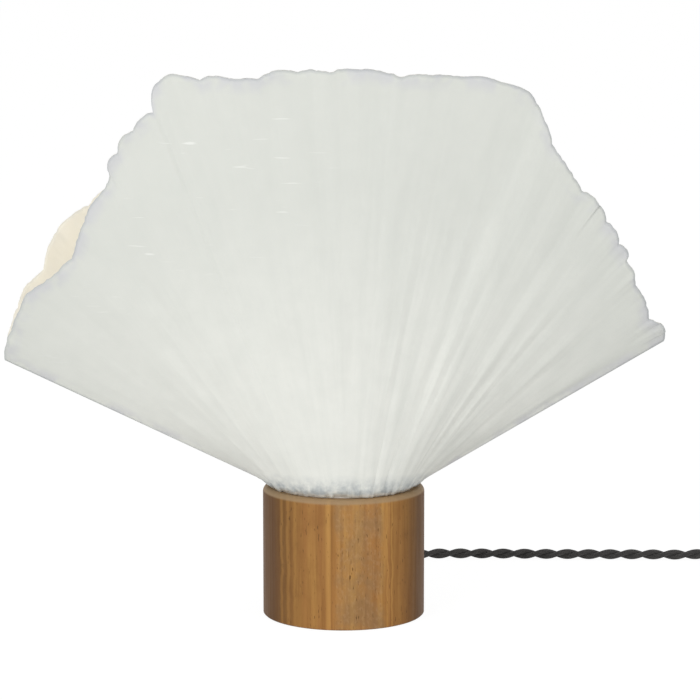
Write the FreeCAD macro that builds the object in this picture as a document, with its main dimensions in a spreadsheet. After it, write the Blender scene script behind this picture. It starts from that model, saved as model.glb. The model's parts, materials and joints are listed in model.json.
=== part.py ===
import FreeCAD, Part
import math
import os
import Sketcher
from FreeCAD import Placement, Rotation, Vector

# A pleated paper table lamp: a turned wooden base with a steel weight, a screw-in lamp holder on a
# threaded tube, and a flattened fan-shaped shade of two pleated paper sheets glued round a steel dish.
# Millimetres. The origin is the middle of the felt foot's underside, +Z up, the viewer is at -Y.

doc = FreeCAD.newDocument("PleatedPaperLamp")
sheet = doc.addObject("Spreadsheet::Sheet", "Sizes")

# Driving sizes: name, value in millimetres (or degrees, or a count), what it is.
table = [
    ("base_radius", 52.5, "wooden base, outside radius"),
    ("base_top", 85.0, "height of the base's flat top"),
    ("base_edge_round", 4.0, "rounding of the top edge"),
    ("base_foot_bevel", 0.8, "bevel of the foot edge"),
    ("base_top_wall", 18.0, "wood over the wiring space"),
    ("cavity_radius", 33.0, "wiring space, radius"),
    ("felt_radius", 46.0, "felt foot, radius"),
    ("felt_thickness", 2.0, "felt foot, thickness"),
    ("felt_proud", 0.4, "how far the felt stands below the wood"),
    ("ballast_radius", 43.0, "steel weight, radius"),
    ("ballast_thickness", 11.0, "steel weight, thickness"),
    ("recess_clearance", 0.3, "gap round the felt and the weight"),
    ("ballast_screw_circle", 38.0, "radius of the circle of the weight's screws"),
    ("ballast_screw_radius", 1.9, "wood screw, shank radius"),
    ("ballast_screw_length", 24.0, "wood screw, length under its head"),
    ("screw_head_radius", 3.8, "wood screw, head radius"),
    ("screw_head_height", 2.4, "wood screw, head height"),
    ("screw_clearance", 0.3, "gap round a screw"),
    ("tube_radius", 5.0, "threaded tube M10, outside radius"),
    ("tube_bore", 4.1, "threaded tube, bore radius"),
    ("tube_clearance", 0.2, "gap between the threaded tube and the holes it passes"),
    ("thread_clearance", 0.05, "gap between the tube and a nut's thread"),
    ("tube_below", 9.0, "threaded tube below the wood"),
    ("tube_above", 17.0, "threaded tube above the base's top"),
    ("washer_radius", 14.0, "washer under the wood, radius"),
    ("washer_thickness", 1.5, "washer, thickness"),
    ("nut_flats", 17.0, "M10 nuts across their flats"),
    ("lower_nut_height", 5.0, "nut under the wood, height"),
    ("upper_nut_height", 4.0, "nut on the dish, height"),
    ("dish_thickness", 1.5, "steel dish that carries the shade, sheet thickness"),
    ("dish_radius", 46.1, "steel dish, outside radius of its rim"),
    ("dish_rim_height", 10.0, "steel dish, height of its rim"),
    ("dish_bevel", 0.8, "steel dish, bevel under its rim"),
    ("window_circle", 33.5, "circle on which the dish's windows lie"),
    ("window_radius", 7.5, "windows in the dish"),
    ("window_count", 6, "number of windows in the dish"),
    ("cap_neck_radius", 9.0, "lamp holder cap, neck radius"),
    ("cap_neck_height", 6.0, "lamp holder cap, neck height"),
    ("cap_dome_height", 10.0, "lamp holder cap, height of its cone"),
    ("cap_skirt_height", 7.0, "lamp holder cap, height of its skirt"),
    ("holder_radius", 20.5, "lamp holder, outside radius"),
    ("holder_wall", 1.5, "lamp holder, wall"),
    ("holder_bevel", 0.8, "lamp holder, bevel of its mouth"),
    ("shell_height", 35.0, "lamp holder shell, height"),
    ("skirt_depth", 24.0, "depth of the shell's inner skirt"),
    ("holder_clearance", 0.3, "gap between the holder's shells and its insert"),
    ("insert_height", 12.0, "contact block of the holder, height"),
    ("sleeve_radius", 13.4, "threaded contact sleeve, inside radius"),
    ("sleeve_wall", 0.4, "threaded contact sleeve, wall"),
    ("sleeve_seat", 8.0, "radius of the hole in the sleeve's floor"),
    ("sleeve_clearance", 0.15, "gap round the contact sleeve"),
    ("contact_rise", 1.8, "height of the centre contact's spring"),
    ("contact_width", 5.0, "centre contact, width"),
    ("contact_metal", 0.5, "centre contact, thickness"),
    ("terminal_circle", 12.0, "distance of the terminal screws from the axis"),
    ("terminal_radius", 2.2, "terminal screws, head radius"),
    ("terminal_height", 2.0, "terminal screws, head height"),
    ("bulb_cap_radius", 13.0, "screw cap of the bulb, outside radius"),
    ("bulb_cap_height", 23.0, "screw cap of the bulb, height"),
    ("bulb_cap_wall", 0.4, "screw cap of the bulb, wall"),
    ("bulb_contact_radius", 4.5, "bulb's centre contact, radius"),
    ("bulb_contact_height", 1.0, "bulb's centre contact, height"),
    ("bulb_insulator_height", 2.4, "black glass of the bulb's foot, height"),
    ("bulb_insulator_radius", 11.0, "black glass of the bulb's foot, radius"),
    ("bulb_seat_gap", 0.3, "gap between the bulb and the centre contact"),
    ("bulb_radius", 30.0, "bulb, largest radius"),
    ("bulb_length", 105.0, "bulb, whole length"),
    ("bulb_glass", 1.0, "bulb, glass wall"),
    ("bulb_neck_radius", 12.4, "bulb, radius of the glass in its cap"),
    ("bulb_neck_height", 5.0, "straight neck of the glass above the middle of its cap"),
    ("paper_thickness", 0.8, "shade paper"),
    ("paper_lift", 0.3, "gap between the paper's lower edge and the wood"),
    ("pleats", 30, "pleats in one sheet"),
    ("neck_pleat", 0.6, "half height of the pleats at the neck"),
    ("rim_pleat", 2.2, "half height of the pleats at the rim"),
    ("paper_clearance", 0.2, "glue line between the dish and the pleats"),
    ("mouth_half_depth", 90.0, "shade mouth, from the middle to the front or back"),
    ("fan_centre_side", 4.6, "point where the fold lines of the fan meet, sideways"),
    ("fan_centre_height", 58.3, "point where the fold lines of the fan meet, height"),
    ("exit_height", 20.0, "height of the cord's hole"),
    ("cord_radius", 3.5, "twisted textile cord, radius"),
    ("cord_floor_gap", 0.05, "cord above the table"),
    ("gland_bore", 3.8, "cord gland, bore radius"),
    ("gland_shaft", 4.7, "cord gland, shaft radius"),
    ("gland_flange", 8.5, "cord gland, flange radius"),
    ("gland_flange_thickness", 2.0, "cord gland, flange thickness"),
    ("gland_nose", 22.0, "cord gland, length of its tapered nose"),
    ("gland_nose_root", 6.4, "cord gland, radius of the nose at its root"),
    ("gland_nose_tip", 4.7, "cord gland, radius of the nose at its tip"),
    ("gland_spot_depth", 1.2, "flat cut in the wood for the flange"),
    ("gland_nut_flats", 13.0, "nut inside the base, across its flats"),
    ("gland_nut_height", 4.0, "nut inside the base, height"),
    ("gland_end", 25.0, "inner end of the gland, from the axis"),
    ("core_radius", 1.1, "single core of the cord, radius"),
    ("core_spread", 1.6, "half distance between the two cores"),
    ("inner_bend", 20.0, "bend radius of the cord inside the base"),
    ("coil_radius", 48.0, "put-away coil, centre line radius of its outer turn"),
    ("coil_pitch", 7.6, "distance from turn to turn and layer to layer"),
    ("tie_width", 10.0, "strap round the coil, width"),
    ("tie_thickness", 0.8, "strap round the coil, thickness"),
    ("tie_clearance", 0.9, "gap between the strap and the turns"),
    ("switch_length", 60.0, "cord switch, length"),
    ("switch_width", 25.0, "cord switch, width"),
    ("switch_half", 8.0, "height of each half of the cord switch"),
    ("switch_corner", 8.0, "cord switch, corner radius"),
    ("switch_edge", 2.0, "cord switch, edge rounding"),
    ("switch_wall", 2.2, "cord switch, wall over and under its space"),
    ("switch_end_wall", 8.0, "cord switch, solid ends"),
    ("switch_side_wall", 2.5, "cord switch, side walls"),
    ("rocker_length", 19.8, "rocker, length"),
    ("rocker_width", 10.0, "rocker, width"),
    ("rocker_rise", 4.9, "top of the rocker's ends over its pivot"),
    ("rocker_dip", 1.2, "depth of the hollow in the rocker's top"),
    ("rocker_tilt", 7.0, "tilt of the rocker to either side, degrees"),
    ("rocker_gap", 0.9, "gap at the rocker's ends"),
    ("rocker_side_gap", 0.3, "gap beside the rocker and round its pins"),
    ("pivot_radius", 1.1, "rocker's pivot pins, radius"),
    ("pivot_reach", 1.8, "rocker's pivot pins, length"),
    ("switch_screw_radius", 1.4, "cord switch screws, radius"),
    ("switch_screw_head", 2.6, "cord switch screws, head radius"),
    ("plug_width", 35.3, "flat two-pin plug, width"),
    ("plug_height", 13.7, "flat two-pin plug, height"),
    ("plug_length", 50.0, "flat two-pin plug, length without pins"),
    ("pin_radius", 2.0, "plug pins, radius"),
    ("pin_length", 19.0, "plug pins, length"),
    ("pin_sleeve", 10.0, "insulated length of the pins"),
    ("pin_spacing", 18.6, "distance between the pins"),
]

operations = {
    "+": lambda a, b: a + b,
    "-": lambda a, b: a - b,
    "*": lambda a, b: a * b,
    "/": lambda a, b: a / b,
}


class Size:
    """A number together with the sheet formula that gives it."""

    def __init__(self, value, formula):
        self.value = value
        self.formula = formula

    def __float__(self):
        return float(self.value)

    def __add__(self, other):
        return combined(self, "+", other)

    def __radd__(self, other):
        return combined(other, "+", self)

    def __sub__(self, other):
        return combined(self, "-", other)

    def __rsub__(self, other):
        return combined(other, "-", self)

    def __mul__(self, other):
        return combined(self, "*", other)

    def __rmul__(self, other):
        return combined(other, "*", self)

    def __truediv__(self, other):
        return combined(self, "/", other)


def formula_of(size):
    return size.formula if isinstance(size, Size) else repr(float(size))


def combined(left, sign, right):
    value = operations[sign](float(left), float(right))
    return Size(value, "(" + formula_of(left) + " " + sign + " " + formula_of(right) + ")")


class Sizes:
    """The sheet's sizes by name."""


s = Sizes()
for row, (alias, value, meaning) in enumerate(table, start=1):
    sheet.set("A%d" % row, alias)
    sheet.set("B%d" % row, str(value))
    sheet.set("C%d" % row, meaning)
    sheet.setAlias("B%d" % row, alias)
    setattr(s, alias, Size(value, "Sizes." + alias))
doc.recompute()

nodes = []


def keep(thing, label):
    """Names a finished sub-part; its label is its file's name."""
    thing.Label = label
    nodes.append(thing)
    return thing


# ---- helpers for bodies, sketches and primitives


def bind(thing, prop, size):
    thing.setExpression(prop, formula_of(size))


def place(thing, x=0, y=0, z=0, turn=None):
    thing.Placement = Placement(Vector(float(x), float(y), float(z)), turn or Rotation())
    for axis, size in zip("xyz", (x, y, z)):
        if isinstance(size, Size):
            bind(thing, "Placement.Base." + axis, size)
    return thing


def new_body(name):
    return doc.addObject("PartDesign::Body", name)


def origin_plane(body, role):
    for plane in body.Origin.OriginFeatures:
        if plane.Role == role:
            return plane


def new_sketch(body, name, role, offset=None):
    sketch = body.newObject("Sketcher::SketchObject", name)
    sketch.AttachmentSupport = (origin_plane(body, role), [""])
    sketch.MapMode = "FlatFace"
    if offset is not None:
        sketch.AttachmentOffset = Placement(Vector(0, 0, float(offset)), Rotation())
        bind(sketch, "AttachmentOffset.Base.z", offset)
    return sketch


def fix_point(sketch, item, point, x, y):
    """Ties a point of the sketch to the origin by two sizes."""
    for kind, own_axis, size in (("DistanceX", -2, x), ("DistanceY", -1, y)):
        if float(size) == 0.0:
            sketch.addConstraint(Sketcher.Constraint("PointOnObject", item, point, own_axis))
            continue
        number = sketch.addConstraint(Sketcher.Constraint(kind, -1, 1, item, point, float(size)))
        name = "%s_%d_%d" % (kind, item, point)
        sketch.renameConstraint(number, name)
        if isinstance(size, Size):
            bind(sketch, "Constraints." + name, size)


def draw_outline(sketch, corners):
    """Closed outline of straight lines through corners given as pairs of sizes."""
    ends = [Vector(float(x), float(y), 0) for x, y in corners]
    count = len(corners)
    first = sketch.GeometryCount
    for i in range(count):
        sketch.addGeometry(Part.LineSegment(ends[i], ends[(i + 1) % count]), False)
    for i in range(count):
        following = first + (i + 1) % count
        sketch.addConstraint(Sketcher.Constraint("Coincident", first + i, 2, following, 1))
    for i, (x, y) in enumerate(corners):
        fix_point(sketch, first + i, 1, x, y)


def draw_circle(sketch, x, y, radius):
    centre = Vector(float(x), float(y), 0)
    item = sketch.addGeometry(Part.Circle(centre, Vector(0, 0, 1), float(radius)), False)
    fix_point(sketch, item, 3, x, y)
    number = sketch.addConstraint(Sketcher.Constraint("Radius", item, float(radius)))
    sketch.renameConstraint(number, "radius_%d" % item)
    bind(sketch, "Constraints.radius_%d" % item, radius)


def turned(body, corners):
    """Revolves an outline of (radius, height) corners round the body's Z axis."""
    sketch = new_sketch(body, body.Name + "Profile", "XZ_Plane")
    draw_outline(sketch, corners)
    turning = body.newObject("PartDesign::Revolution", body.Name + "Turned")
    turning.Profile = sketch
    turning.ReferenceAxis = (sketch, ["V_Axis"])
    turning.Angle = 360.0
    sketch.Visibility = False
    doc.recompute()
    return turning


def cut_pocket(body, sketch, depth=None, reverse=False):
    """Cuts a sketch into the body, through all of it without a depth; the volume must drop."""
    before = body.Shape.Volume
    pocket = body.newObject("PartDesign::Pocket", sketch.Name + "Cut")
    pocket.Profile = sketch
    pocket.Reversed = reverse
    if depth is None:
        pocket.Type = "ThroughAll"
    else:
        bind(pocket, "Length", depth)
    doc.recompute()
    if body.Shape.Volume >= before:
        raise ValueError(body.Label + ": a pocket cuts nothing")
    return pocket


def add_pad(body, sketch, height, reverse=False, both=False):
    pad = body.newObject("PartDesign::Pad", sketch.Name + "Pad")
    pad.Profile = sketch
    pad.Reversed = reverse
    pad.Midplane = both
    bind(pad, "Length", height)
    doc.recompute()
    return pad


def repeat_round(body, feature, count, role="Z_Axis"):
    """Repeats a feature evenly round the body's axis."""
    pattern = body.newObject("PartDesign::PolarPattern", feature.Name + "Round")
    pattern.Originals = [feature]
    for axis in body.Origin.OriginFeatures:
        if axis.Role == role:
            pattern.Axis = (axis, [""])
    pattern.Angle = 360.0
    bind(pattern, "Occurrences", count)
    body.Tip = pattern
    doc.recompute()
    return pattern


def round_edges(body, base, radius, wanted):
    """Fillets the edges of a feature for which wanted(edge) holds."""
    names = ["Edge%d" % (i + 1) for i, edge in enumerate(base.Shape.Edges) if wanted(edge)]
    if not names:
        raise ValueError(body.Label + ": no edge to round")
    fillet = body.newObject("PartDesign::Fillet", base.Name + "Round")
    fillet.Base = (base, names)
    bind(fillet, "Radius", radius)
    doc.recompute()
    return fillet


def bevel_edges(body, base, size, wanted):
    """Chamfers the edges of a feature for which wanted(edge) holds."""
    names = ["Edge%d" % (i + 1) for i, edge in enumerate(base.Shape.Edges) if wanted(edge)]
    if not names:
        raise ValueError(body.Label + ": no edge to bevel")
    chamfer = body.newObject("PartDesign::Chamfer", base.Name + "Bevel")
    chamfer.Base = (base, names)
    bind(chamfer, "Size", size)
    doc.recompute()
    return chamfer


def circle_at(radius, height):
    """Test for a full circle of this radius round Z at this height."""

    def wanted(edge):
        if not isinstance(edge.Curve, Part.Circle):
            return False
        right_height = abs(edge.Curve.Center.z - float(height)) < 0.001
        return right_height and abs(edge.Curve.Radius - float(radius)) < 0.001

    return wanted


def cylinder(name, radius, height, x=0, y=0, z=0, turn=None):
    solid = doc.addObject("Part::Cylinder", name)
    bind(solid, "Radius", radius)
    bind(solid, "Height", height)
    return place(solid, x, y, z, turn)


def box(name, length, width, height, x, y, z):
    """Box centred on x and y, standing on z."""
    solid = doc.addObject("Part::Box", name)
    bind(solid, "Length", length)
    bind(solid, "Width", width)
    bind(solid, "Height", height)
    return place(solid, x - length / 2, y - width / 2, z)


def joined(name, pieces):
    whole = doc.addObject("Part::MultiFuse", name)
    whole.Shapes = pieces
    return whole


def cut(name, body, tool):
    rest = doc.addObject("Part::Cut", name)
    rest.Base = body
    rest.Tool = tool
    return rest


def group(name, pieces):
    together = doc.addObject("Part::Compound", name)
    together.Links = pieces
    return together


def made(name, shape):
    feature = doc.addObject("Part::Feature", name)
    feature.Shape = shape
    return feature


def ring(name, outer, inner, height, z):
    disc = cylinder(name + "Disc", outer, height, z=z)
    hole = cylinder(name + "Hole", inner, height + 2.0, z=z - 1.0)
    return cut(name, disc, hole)


def hex_nut(name, flats, bore, height, x=0, y=0, z=0, turn=None):
    """Hexagon nut; its thread is a plain bore."""
    prism = doc.addObject("Part::Prism", name + "Hex")
    prism.Polygon = 6
    bind(prism, "Circumradius", flats / math.sqrt(3.0))
    bind(prism, "Height", height)
    hole = cylinder(name + "Bore", bore, height + 2.0, z=-1.0)
    return place(cut(name, prism, hole), x, y, z, turn)


along_y = Rotation(Vector(1, 0, 0), -90)
along_minus_x = Rotation(Vector(0, 1, 0), -90)

# ---- heights that several pieces share

wood_foot = s.felt_proud
felt_top = s.felt_thickness
ballast_top = felt_top + s.ballast_thickness
cavity_top = s.base_top - s.base_top_wall
tube_hole = s.tube_radius + s.tube_clearance
dish_top = s.base_top + s.dish_thickness
cap_foot = dish_top + s.upper_nut_height
cap_shoulder = cap_foot + s.cap_neck_height
cap_skirt = cap_shoulder + s.cap_dome_height
cap_rim = cap_skirt + s.cap_skirt_height
insert_foot = cap_skirt + s.holder_wall
insert_top = insert_foot + s.insert_height
holder_top = cap_rim + s.shell_height
bulb_foot = insert_top + s.contact_rise + s.bulb_seat_gap
bulb_insulator = bulb_foot + s.bulb_contact_height
bulb_cap_foot = bulb_insulator + s.bulb_insulator_height
bulb_cap_top = bulb_cap_foot + s.bulb_cap_height
spot_face = s.base_radius - s.gland_spot_depth
gland_flange_face = spot_face + s.gland_flange_thickness
gland_tip = gland_flange_face + s.gland_nose


def make_base_body():
    """Turned wooden cylinder, hollow from below, with a stepped recess for the weight and the felt."""
    body = new_body("BaseBody")
    felt_recess = s.felt_radius + s.recess_clearance
    ballast_recess = s.ballast_radius + s.recess_clearance
    profile = [
        (tube_hole, cavity_top),
        (tube_hole, s.base_top),
        (s.base_radius, s.base_top),
        (s.base_radius, wood_foot),
        (felt_recess, wood_foot),
        (felt_recess, felt_top),
        (ballast_recess, felt_top),
        (ballast_recess, ballast_top),
        (s.cavity_radius, ballast_top),
        (s.cavity_radius, cavity_top),
    ]
    turning = turned(body, profile)
    top_round = round_edges(body, turning, s.base_edge_round, circle_at(s.base_radius, s.base_top))
    bevel_edges(body, top_round, s.base_foot_bevel, circle_at(s.base_radius, wood_foot))

    cord_hole = new_sketch(body, "CordHole", "XZ_Plane")
    draw_circle(cord_hole, 0, s.exit_height, s.gland_shaft + s.tube_clearance)
    cut_pocket(body, cord_hole)
    flat = new_sketch(body, "FlangeFlat", "XZ_Plane", 0 - spot_face)
    draw_circle(flat, 0, s.exit_height, s.gland_flange + s.screw_clearance)
    cut_pocket(body, flat)

    pilot = new_sketch(body, "ScrewPilot", "XY_Plane", ballast_top)
    draw_circle(pilot, 0, 0 - s.ballast_screw_circle, s.ballast_screw_radius + s.thread_clearance)
    pilot_depth = felt_top + s.screw_head_height + s.ballast_screw_length - ballast_top + 1.0
    pocket = cut_pocket(body, pilot, pilot_depth, reverse=True)
    repeat_round(body, pocket, 3)
    keep(body, "base_body")


def make_foot():
    """Felt foot, steel weight and the three wood screws that hold it."""
    keep(cylinder("FeltPad", s.felt_radius, s.felt_thickness), "felt_pad")

    body = new_body("BallastDisc")
    outline = new_sketch(body, "BallastOutline", "XY_Plane", felt_top)
    draw_circle(outline, 0, 0, s.ballast_radius)
    add_pad(body, outline, s.ballast_thickness)
    place_on_circle = 0 - s.ballast_screw_circle
    for name, radius, depth in (
        ("BallastHole", s.ballast_screw_radius + s.screw_clearance, s.ballast_thickness + 1.0),
        ("BallastHeadHole", s.screw_head_radius + s.screw_clearance, s.screw_head_height),
    ):
        hole = new_sketch(body, name, "XY_Plane", felt_top)
        draw_circle(hole, 0, place_on_circle, radius)
        repeat_round(body, cut_pocket(body, hole, depth, reverse=True), 3)
    keep(body, "ballast_disc")

    screws = []
    for i in range(3):
        direction = math.radians(120.0 * i - 90.0)
        x = s.ballast_screw_circle * math.cos(direction)
        y = s.ballast_screw_circle * math.sin(direction)
        head = cylinder("ScrewHead%d" % i, s.screw_head_radius, s.screw_head_height, x, y, felt_top)
        shank_foot = felt_top + s.screw_head_height / 2
        shank_length = s.ballast_screw_length + s.screw_head_height / 2
        shank = cylinder("ScrewShank%d" % i, s.ballast_screw_radius, shank_length, x, y, shank_foot)
        screws.append(joined("Screw%d" % i, [head, shank]))
    keep(group("BallastScrews", screws), "ballast_screws")


def make_stem():
    """Threaded tube with a washer and nut under the wood, and a nut that clamps the dish."""
    tube_foot = cavity_top - s.tube_below
    tube_length = s.base_top_wall + s.tube_below + s.tube_above
    keep(ring("ThreadedTube", s.tube_radius, s.tube_bore, tube_length, tube_foot), "threaded_tube")
    washer_foot = cavity_top - s.washer_thickness
    keep(ring("TubeWasher", s.washer_radius, tube_hole, s.washer_thickness, washer_foot), "tube_washer")
    bore = s.tube_radius + s.thread_clearance
    nut_foot = washer_foot - s.lower_nut_height
    keep(hex_nut("LowerNut", s.nut_flats, bore, s.lower_nut_height, z=nut_foot), "lower_nut")
    keep(hex_nut("UpperNut", s.nut_flats, bore, s.upper_nut_height, z=dish_top), "upper_nut")


def make_shade_dish():
    """Pressed steel dish: a plate with round windows and an upturned rim that the paper is glued to."""
    body = new_body("ShadeDish")
    rim_top = s.base_top + s.dish_rim_height
    inside = s.dish_radius - s.dish_thickness
    profile = [
        (tube_hole, s.base_top),
        (s.dish_radius, s.base_top),
        (s.dish_radius, rim_top),
        (inside, rim_top),
        (inside, dish_top),
        (tube_hole, dish_top),
    ]
    turning = turned(body, profile)
    bevel_edges(body, turning, s.dish_bevel, circle_at(s.dish_radius, s.base_top))
    window = new_sketch(body, "DishWindow", "XY_Plane", dish_top)
    draw_circle(window, s.window_circle, 0, s.window_radius)
    repeat_round(body, cut_pocket(body, window), s.window_count)
    keep(body, "shade_dish")


def make_lamp_holder():
    """Screw lamp holder: domed cap, contact block, double-walled shell, sleeve, spring and screws."""
    neck_bore = s.tube_radius + s.thread_clearance
    inner_radius = s.holder_radius - s.holder_wall
    cap = new_body("HolderCap")
    profile = [
        (neck_bore, cap_foot),
        (s.cap_neck_radius, cap_foot),
        (s.cap_neck_radius, cap_shoulder),
        (s.holder_radius, cap_skirt),
        (s.holder_radius, cap_rim),
        (inner_radius, cap_rim),
        (inner_radius, cap_skirt + s.holder_wall / 2),
        (s.cap_neck_radius, cap_shoulder + s.holder_wall),
        (neck_bore, cap_shoulder + s.holder_wall),
    ]
    turning = turned(cap, profile)
    bevel_edges(cap, turning, s.holder_bevel, circle_at(s.holder_radius, cap_skirt))
    keep(cap, "holder_cap")

    block_radius = inner_radius - s.holder_clearance
    block = new_body("HolderInsert")
    outline = new_sketch(block, "InsertOutline", "XY_Plane", insert_foot)
    draw_circle(outline, 0, 0, block_radius)
    add_pad(block, outline, s.insert_height)
    lead_holes = new_sketch(block, "InsertLeadHole", "XY_Plane", insert_foot)
    draw_circle(lead_holes, s.sleeve_seat, 0, s.core_radius + s.screw_clearance)
    repeat_round(block, cut_pocket(block, lead_holes, s.insert_height / 2, reverse=True), 2)
    keep(block, "holder_insert")

    skirt_inner = s.sleeve_radius + s.sleeve_wall + s.sleeve_clearance
    skirt_outer = skirt_inner + s.holder_wall
    mouth = holder_top - s.holder_wall
    skirt_foot = mouth - s.skirt_depth + s.holder_wall
    shell = new_body("HolderShell")
    profile = [
        (inner_radius, cap_rim),
        (s.holder_radius, cap_rim),
        (s.holder_radius, holder_top),
        (skirt_inner, holder_top),
        (skirt_inner, skirt_foot),
        (skirt_outer, skirt_foot),
        (skirt_outer, mouth),
        (inner_radius, mouth),
    ]
    turning = turned(shell, profile)
    bevel_edges(shell, turning, s.holder_bevel, circle_at(s.holder_radius, holder_top))
    keep(shell, "holder_shell")

    sleeve = new_body("ContactSleeve")
    outside = s.sleeve_radius + s.sleeve_wall
    floor_top = insert_top + s.sleeve_wall
    sleeve_top = holder_top - 2 * s.holder_wall
    profile = [
        (s.sleeve_seat, insert_top),
        (outside, insert_top),
        (outside, sleeve_top),
        (s.sleeve_radius, sleeve_top),
        (s.sleeve_radius, floor_top),
        (s.sleeve_seat, floor_top),
    ]
    turned(sleeve, profile)
    keep(sleeve, "contact_sleeve")

    spring = new_body("CentreContact")
    half = s.sleeve_seat - 1.5
    bend = half / 3
    spring_top = insert_top + s.contact_rise
    profile = [
        (0 - half, insert_top),
        (0 - bend, insert_top),
        (bend, spring_top - s.contact_metal),
        (half, spring_top - s.contact_metal),
        (half, spring_top),
        (bend / 2, spring_top),
        (0 - bend, insert_top + s.contact_metal),
        (0 - half, insert_top + s.contact_metal),
    ]
    outline = new_sketch(spring, "SpringProfile", "XZ_Plane")
    draw_outline(outline, profile)
    add_pad(spring, outline, s.contact_width, both=True)
    keep(spring, "centre_contact")

    screws = []
    for i, side in enumerate((-1, 1)):
        head_foot = insert_foot - s.terminal_height
        y = s.terminal_circle * side
        screws.append(cylinder("Terminal%d" % i, s.terminal_radius, s.terminal_height, 0, y, head_foot))
    keep(group("TerminalScrews", screws), "terminal_screws")


def make_bulb():
    """Opal bulb: pear-shaped glass, screw cap, black glass foot and centre contact."""
    neck = float(s.bulb_neck_radius)
    widest = float(s.bulb_radius)
    top = float(bulb_foot + s.bulb_length)
    centre = top - widest
    glass_foot = float(bulb_cap_foot + s.bulb_cap_height / 2)
    neck_top = float(bulb_cap_top + s.bulb_neck_height)
    wall = float(s.bulb_glass)

    def pear(inset):
        """Half outline of the glass: straight neck, a curve flowing out, and a round top."""
        low = Vector(neck - inset, 0, glass_foot)
        high = Vector(neck - inset, 0, neck_top)
        around = widest - inset
        slant = math.radians(-20.0)
        join = Vector(around * math.cos(slant), 0, centre + around * math.sin(slant))
        middle = math.radians(30.0)
        upper = Vector(around * math.cos(middle), 0, centre + around * math.sin(middle))
        tip = Vector(0, 0, centre + around)
        flow = Part.BSplineCurve()
        flow.interpolate(
            Points=[high, join],
            InitialTangent=Vector(0, 0, 1),
            FinalTangent=Vector(-math.sin(slant), 0, math.cos(slant)),
        )
        return [Part.makeLine(low, high), flow.toShape(), Part.Arc(join, upper, tip).toShape()]

    outer = pear(0.0)
    inner = pear(wall)
    foot = Part.makeLine(outer[0].Vertexes[0].Point, inner[0].Vertexes[0].Point)
    cap = Part.makeLine(outer[2].Vertexes[-1].Point, inner[2].Vertexes[-1].Point)
    outline = Part.Wire(Part.__sortEdges__(outer + inner + [foot, cap]))
    glass = Part.Face(outline).revolve(Vector(0, 0, 0), Vector(0, 0, 1), 360)
    keep(made("BulbGlass", glass), "bulb_glass")

    cap = new_body("BulbCap")
    inside = s.bulb_cap_radius - s.bulb_cap_wall
    profile = [
        (s.bulb_insulator_radius - s.bulb_cap_wall, bulb_cap_foot),
        (s.bulb_insulator_radius, bulb_cap_foot),
        (s.bulb_cap_radius, bulb_cap_foot + 2.0),
        (s.bulb_cap_radius, bulb_cap_top),
        (inside, bulb_cap_top),
        (inside, bulb_cap_foot + 2.0),
    ]
    turned(cap, profile)
    keep(cap, "bulb_cap")

    foot_glass = new_body("BulbInsulator")
    profile = [
        (0, bulb_insulator),
        (s.bulb_contact_radius, bulb_insulator),
        (s.bulb_insulator_radius, bulb_cap_foot),
        (0, bulb_cap_foot),
    ]
    turned(foot_glass, profile)
    keep(foot_glass, "bulb_insulator")
    button = cylinder("BulbContact", s.bulb_contact_radius, s.bulb_contact_height, z=bulb_foot)
    keep(button, "bulb_contact")


# Paper rims as seen square from the front: direction of a fold line from the fan's centre, in degrees
# above +X, and how far the torn edge lies from that centre. The left corner comes first.
front_rim = [
    (154.1, 248.5),
    (149.0, 253.0),
    (145.5, 256.0),
    (142.5, 250.0),
    (137.0, 246.0),
    (134.0, 254.0),
    (129.0, 265.0),
    (125.0, 270.0),
    (120.5, 287.5),
    (117.0, 294.5),
    (113.7, 300.0),
    (112.0, 317.0),
    (109.0, 318.0),
    (102.0, 302.0),
    (92.4, 300.0),
    (84.0, 298.5),
    (76.5, 304.0),
    (71.5, 308.0),
    (68.0, 302.0),
    (64.0, 282.0),
    (56.0, 266.5),
    (47.7, 253.0),
    (43.6, 243.0),
    (39.0, 239.0),
    (30.9, 235.5),
]
back_rim = [
    (154.1, 248.5),
    (146.0, 260.0),
    (141.0, 259.5),
    (136.5, 268.0),
    (133.0, 269.5),
    (130.5, 266.5),
    (125.0, 267.5),
    (117.0, 288.0),
    (111.0, 299.0),
    (104.0, 293.0),
    (92.4, 287.5),
    (84.0, 286.0),
    (73.0, 295.5),
    (68.0, 292.0),
    (63.0, 278.0),
    (56.0, 262.0),
    (45.0, 246.0),
    (30.9, 235.5),
]
mouth_fullness = 0.85  # below 1 the mouth's outline, seen from above, is blunter than a sine


def reach_at(rim, direction):
    """Distance of the torn edge from the fan's centre, straight between the rim's points."""
    for (high, far), (low, near) in zip(rim, rim[1:]):
        if low <= direction <= high:
            return near + (far - near) * (direction - low) / (high - low)
    return rim[-1][1]


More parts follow.
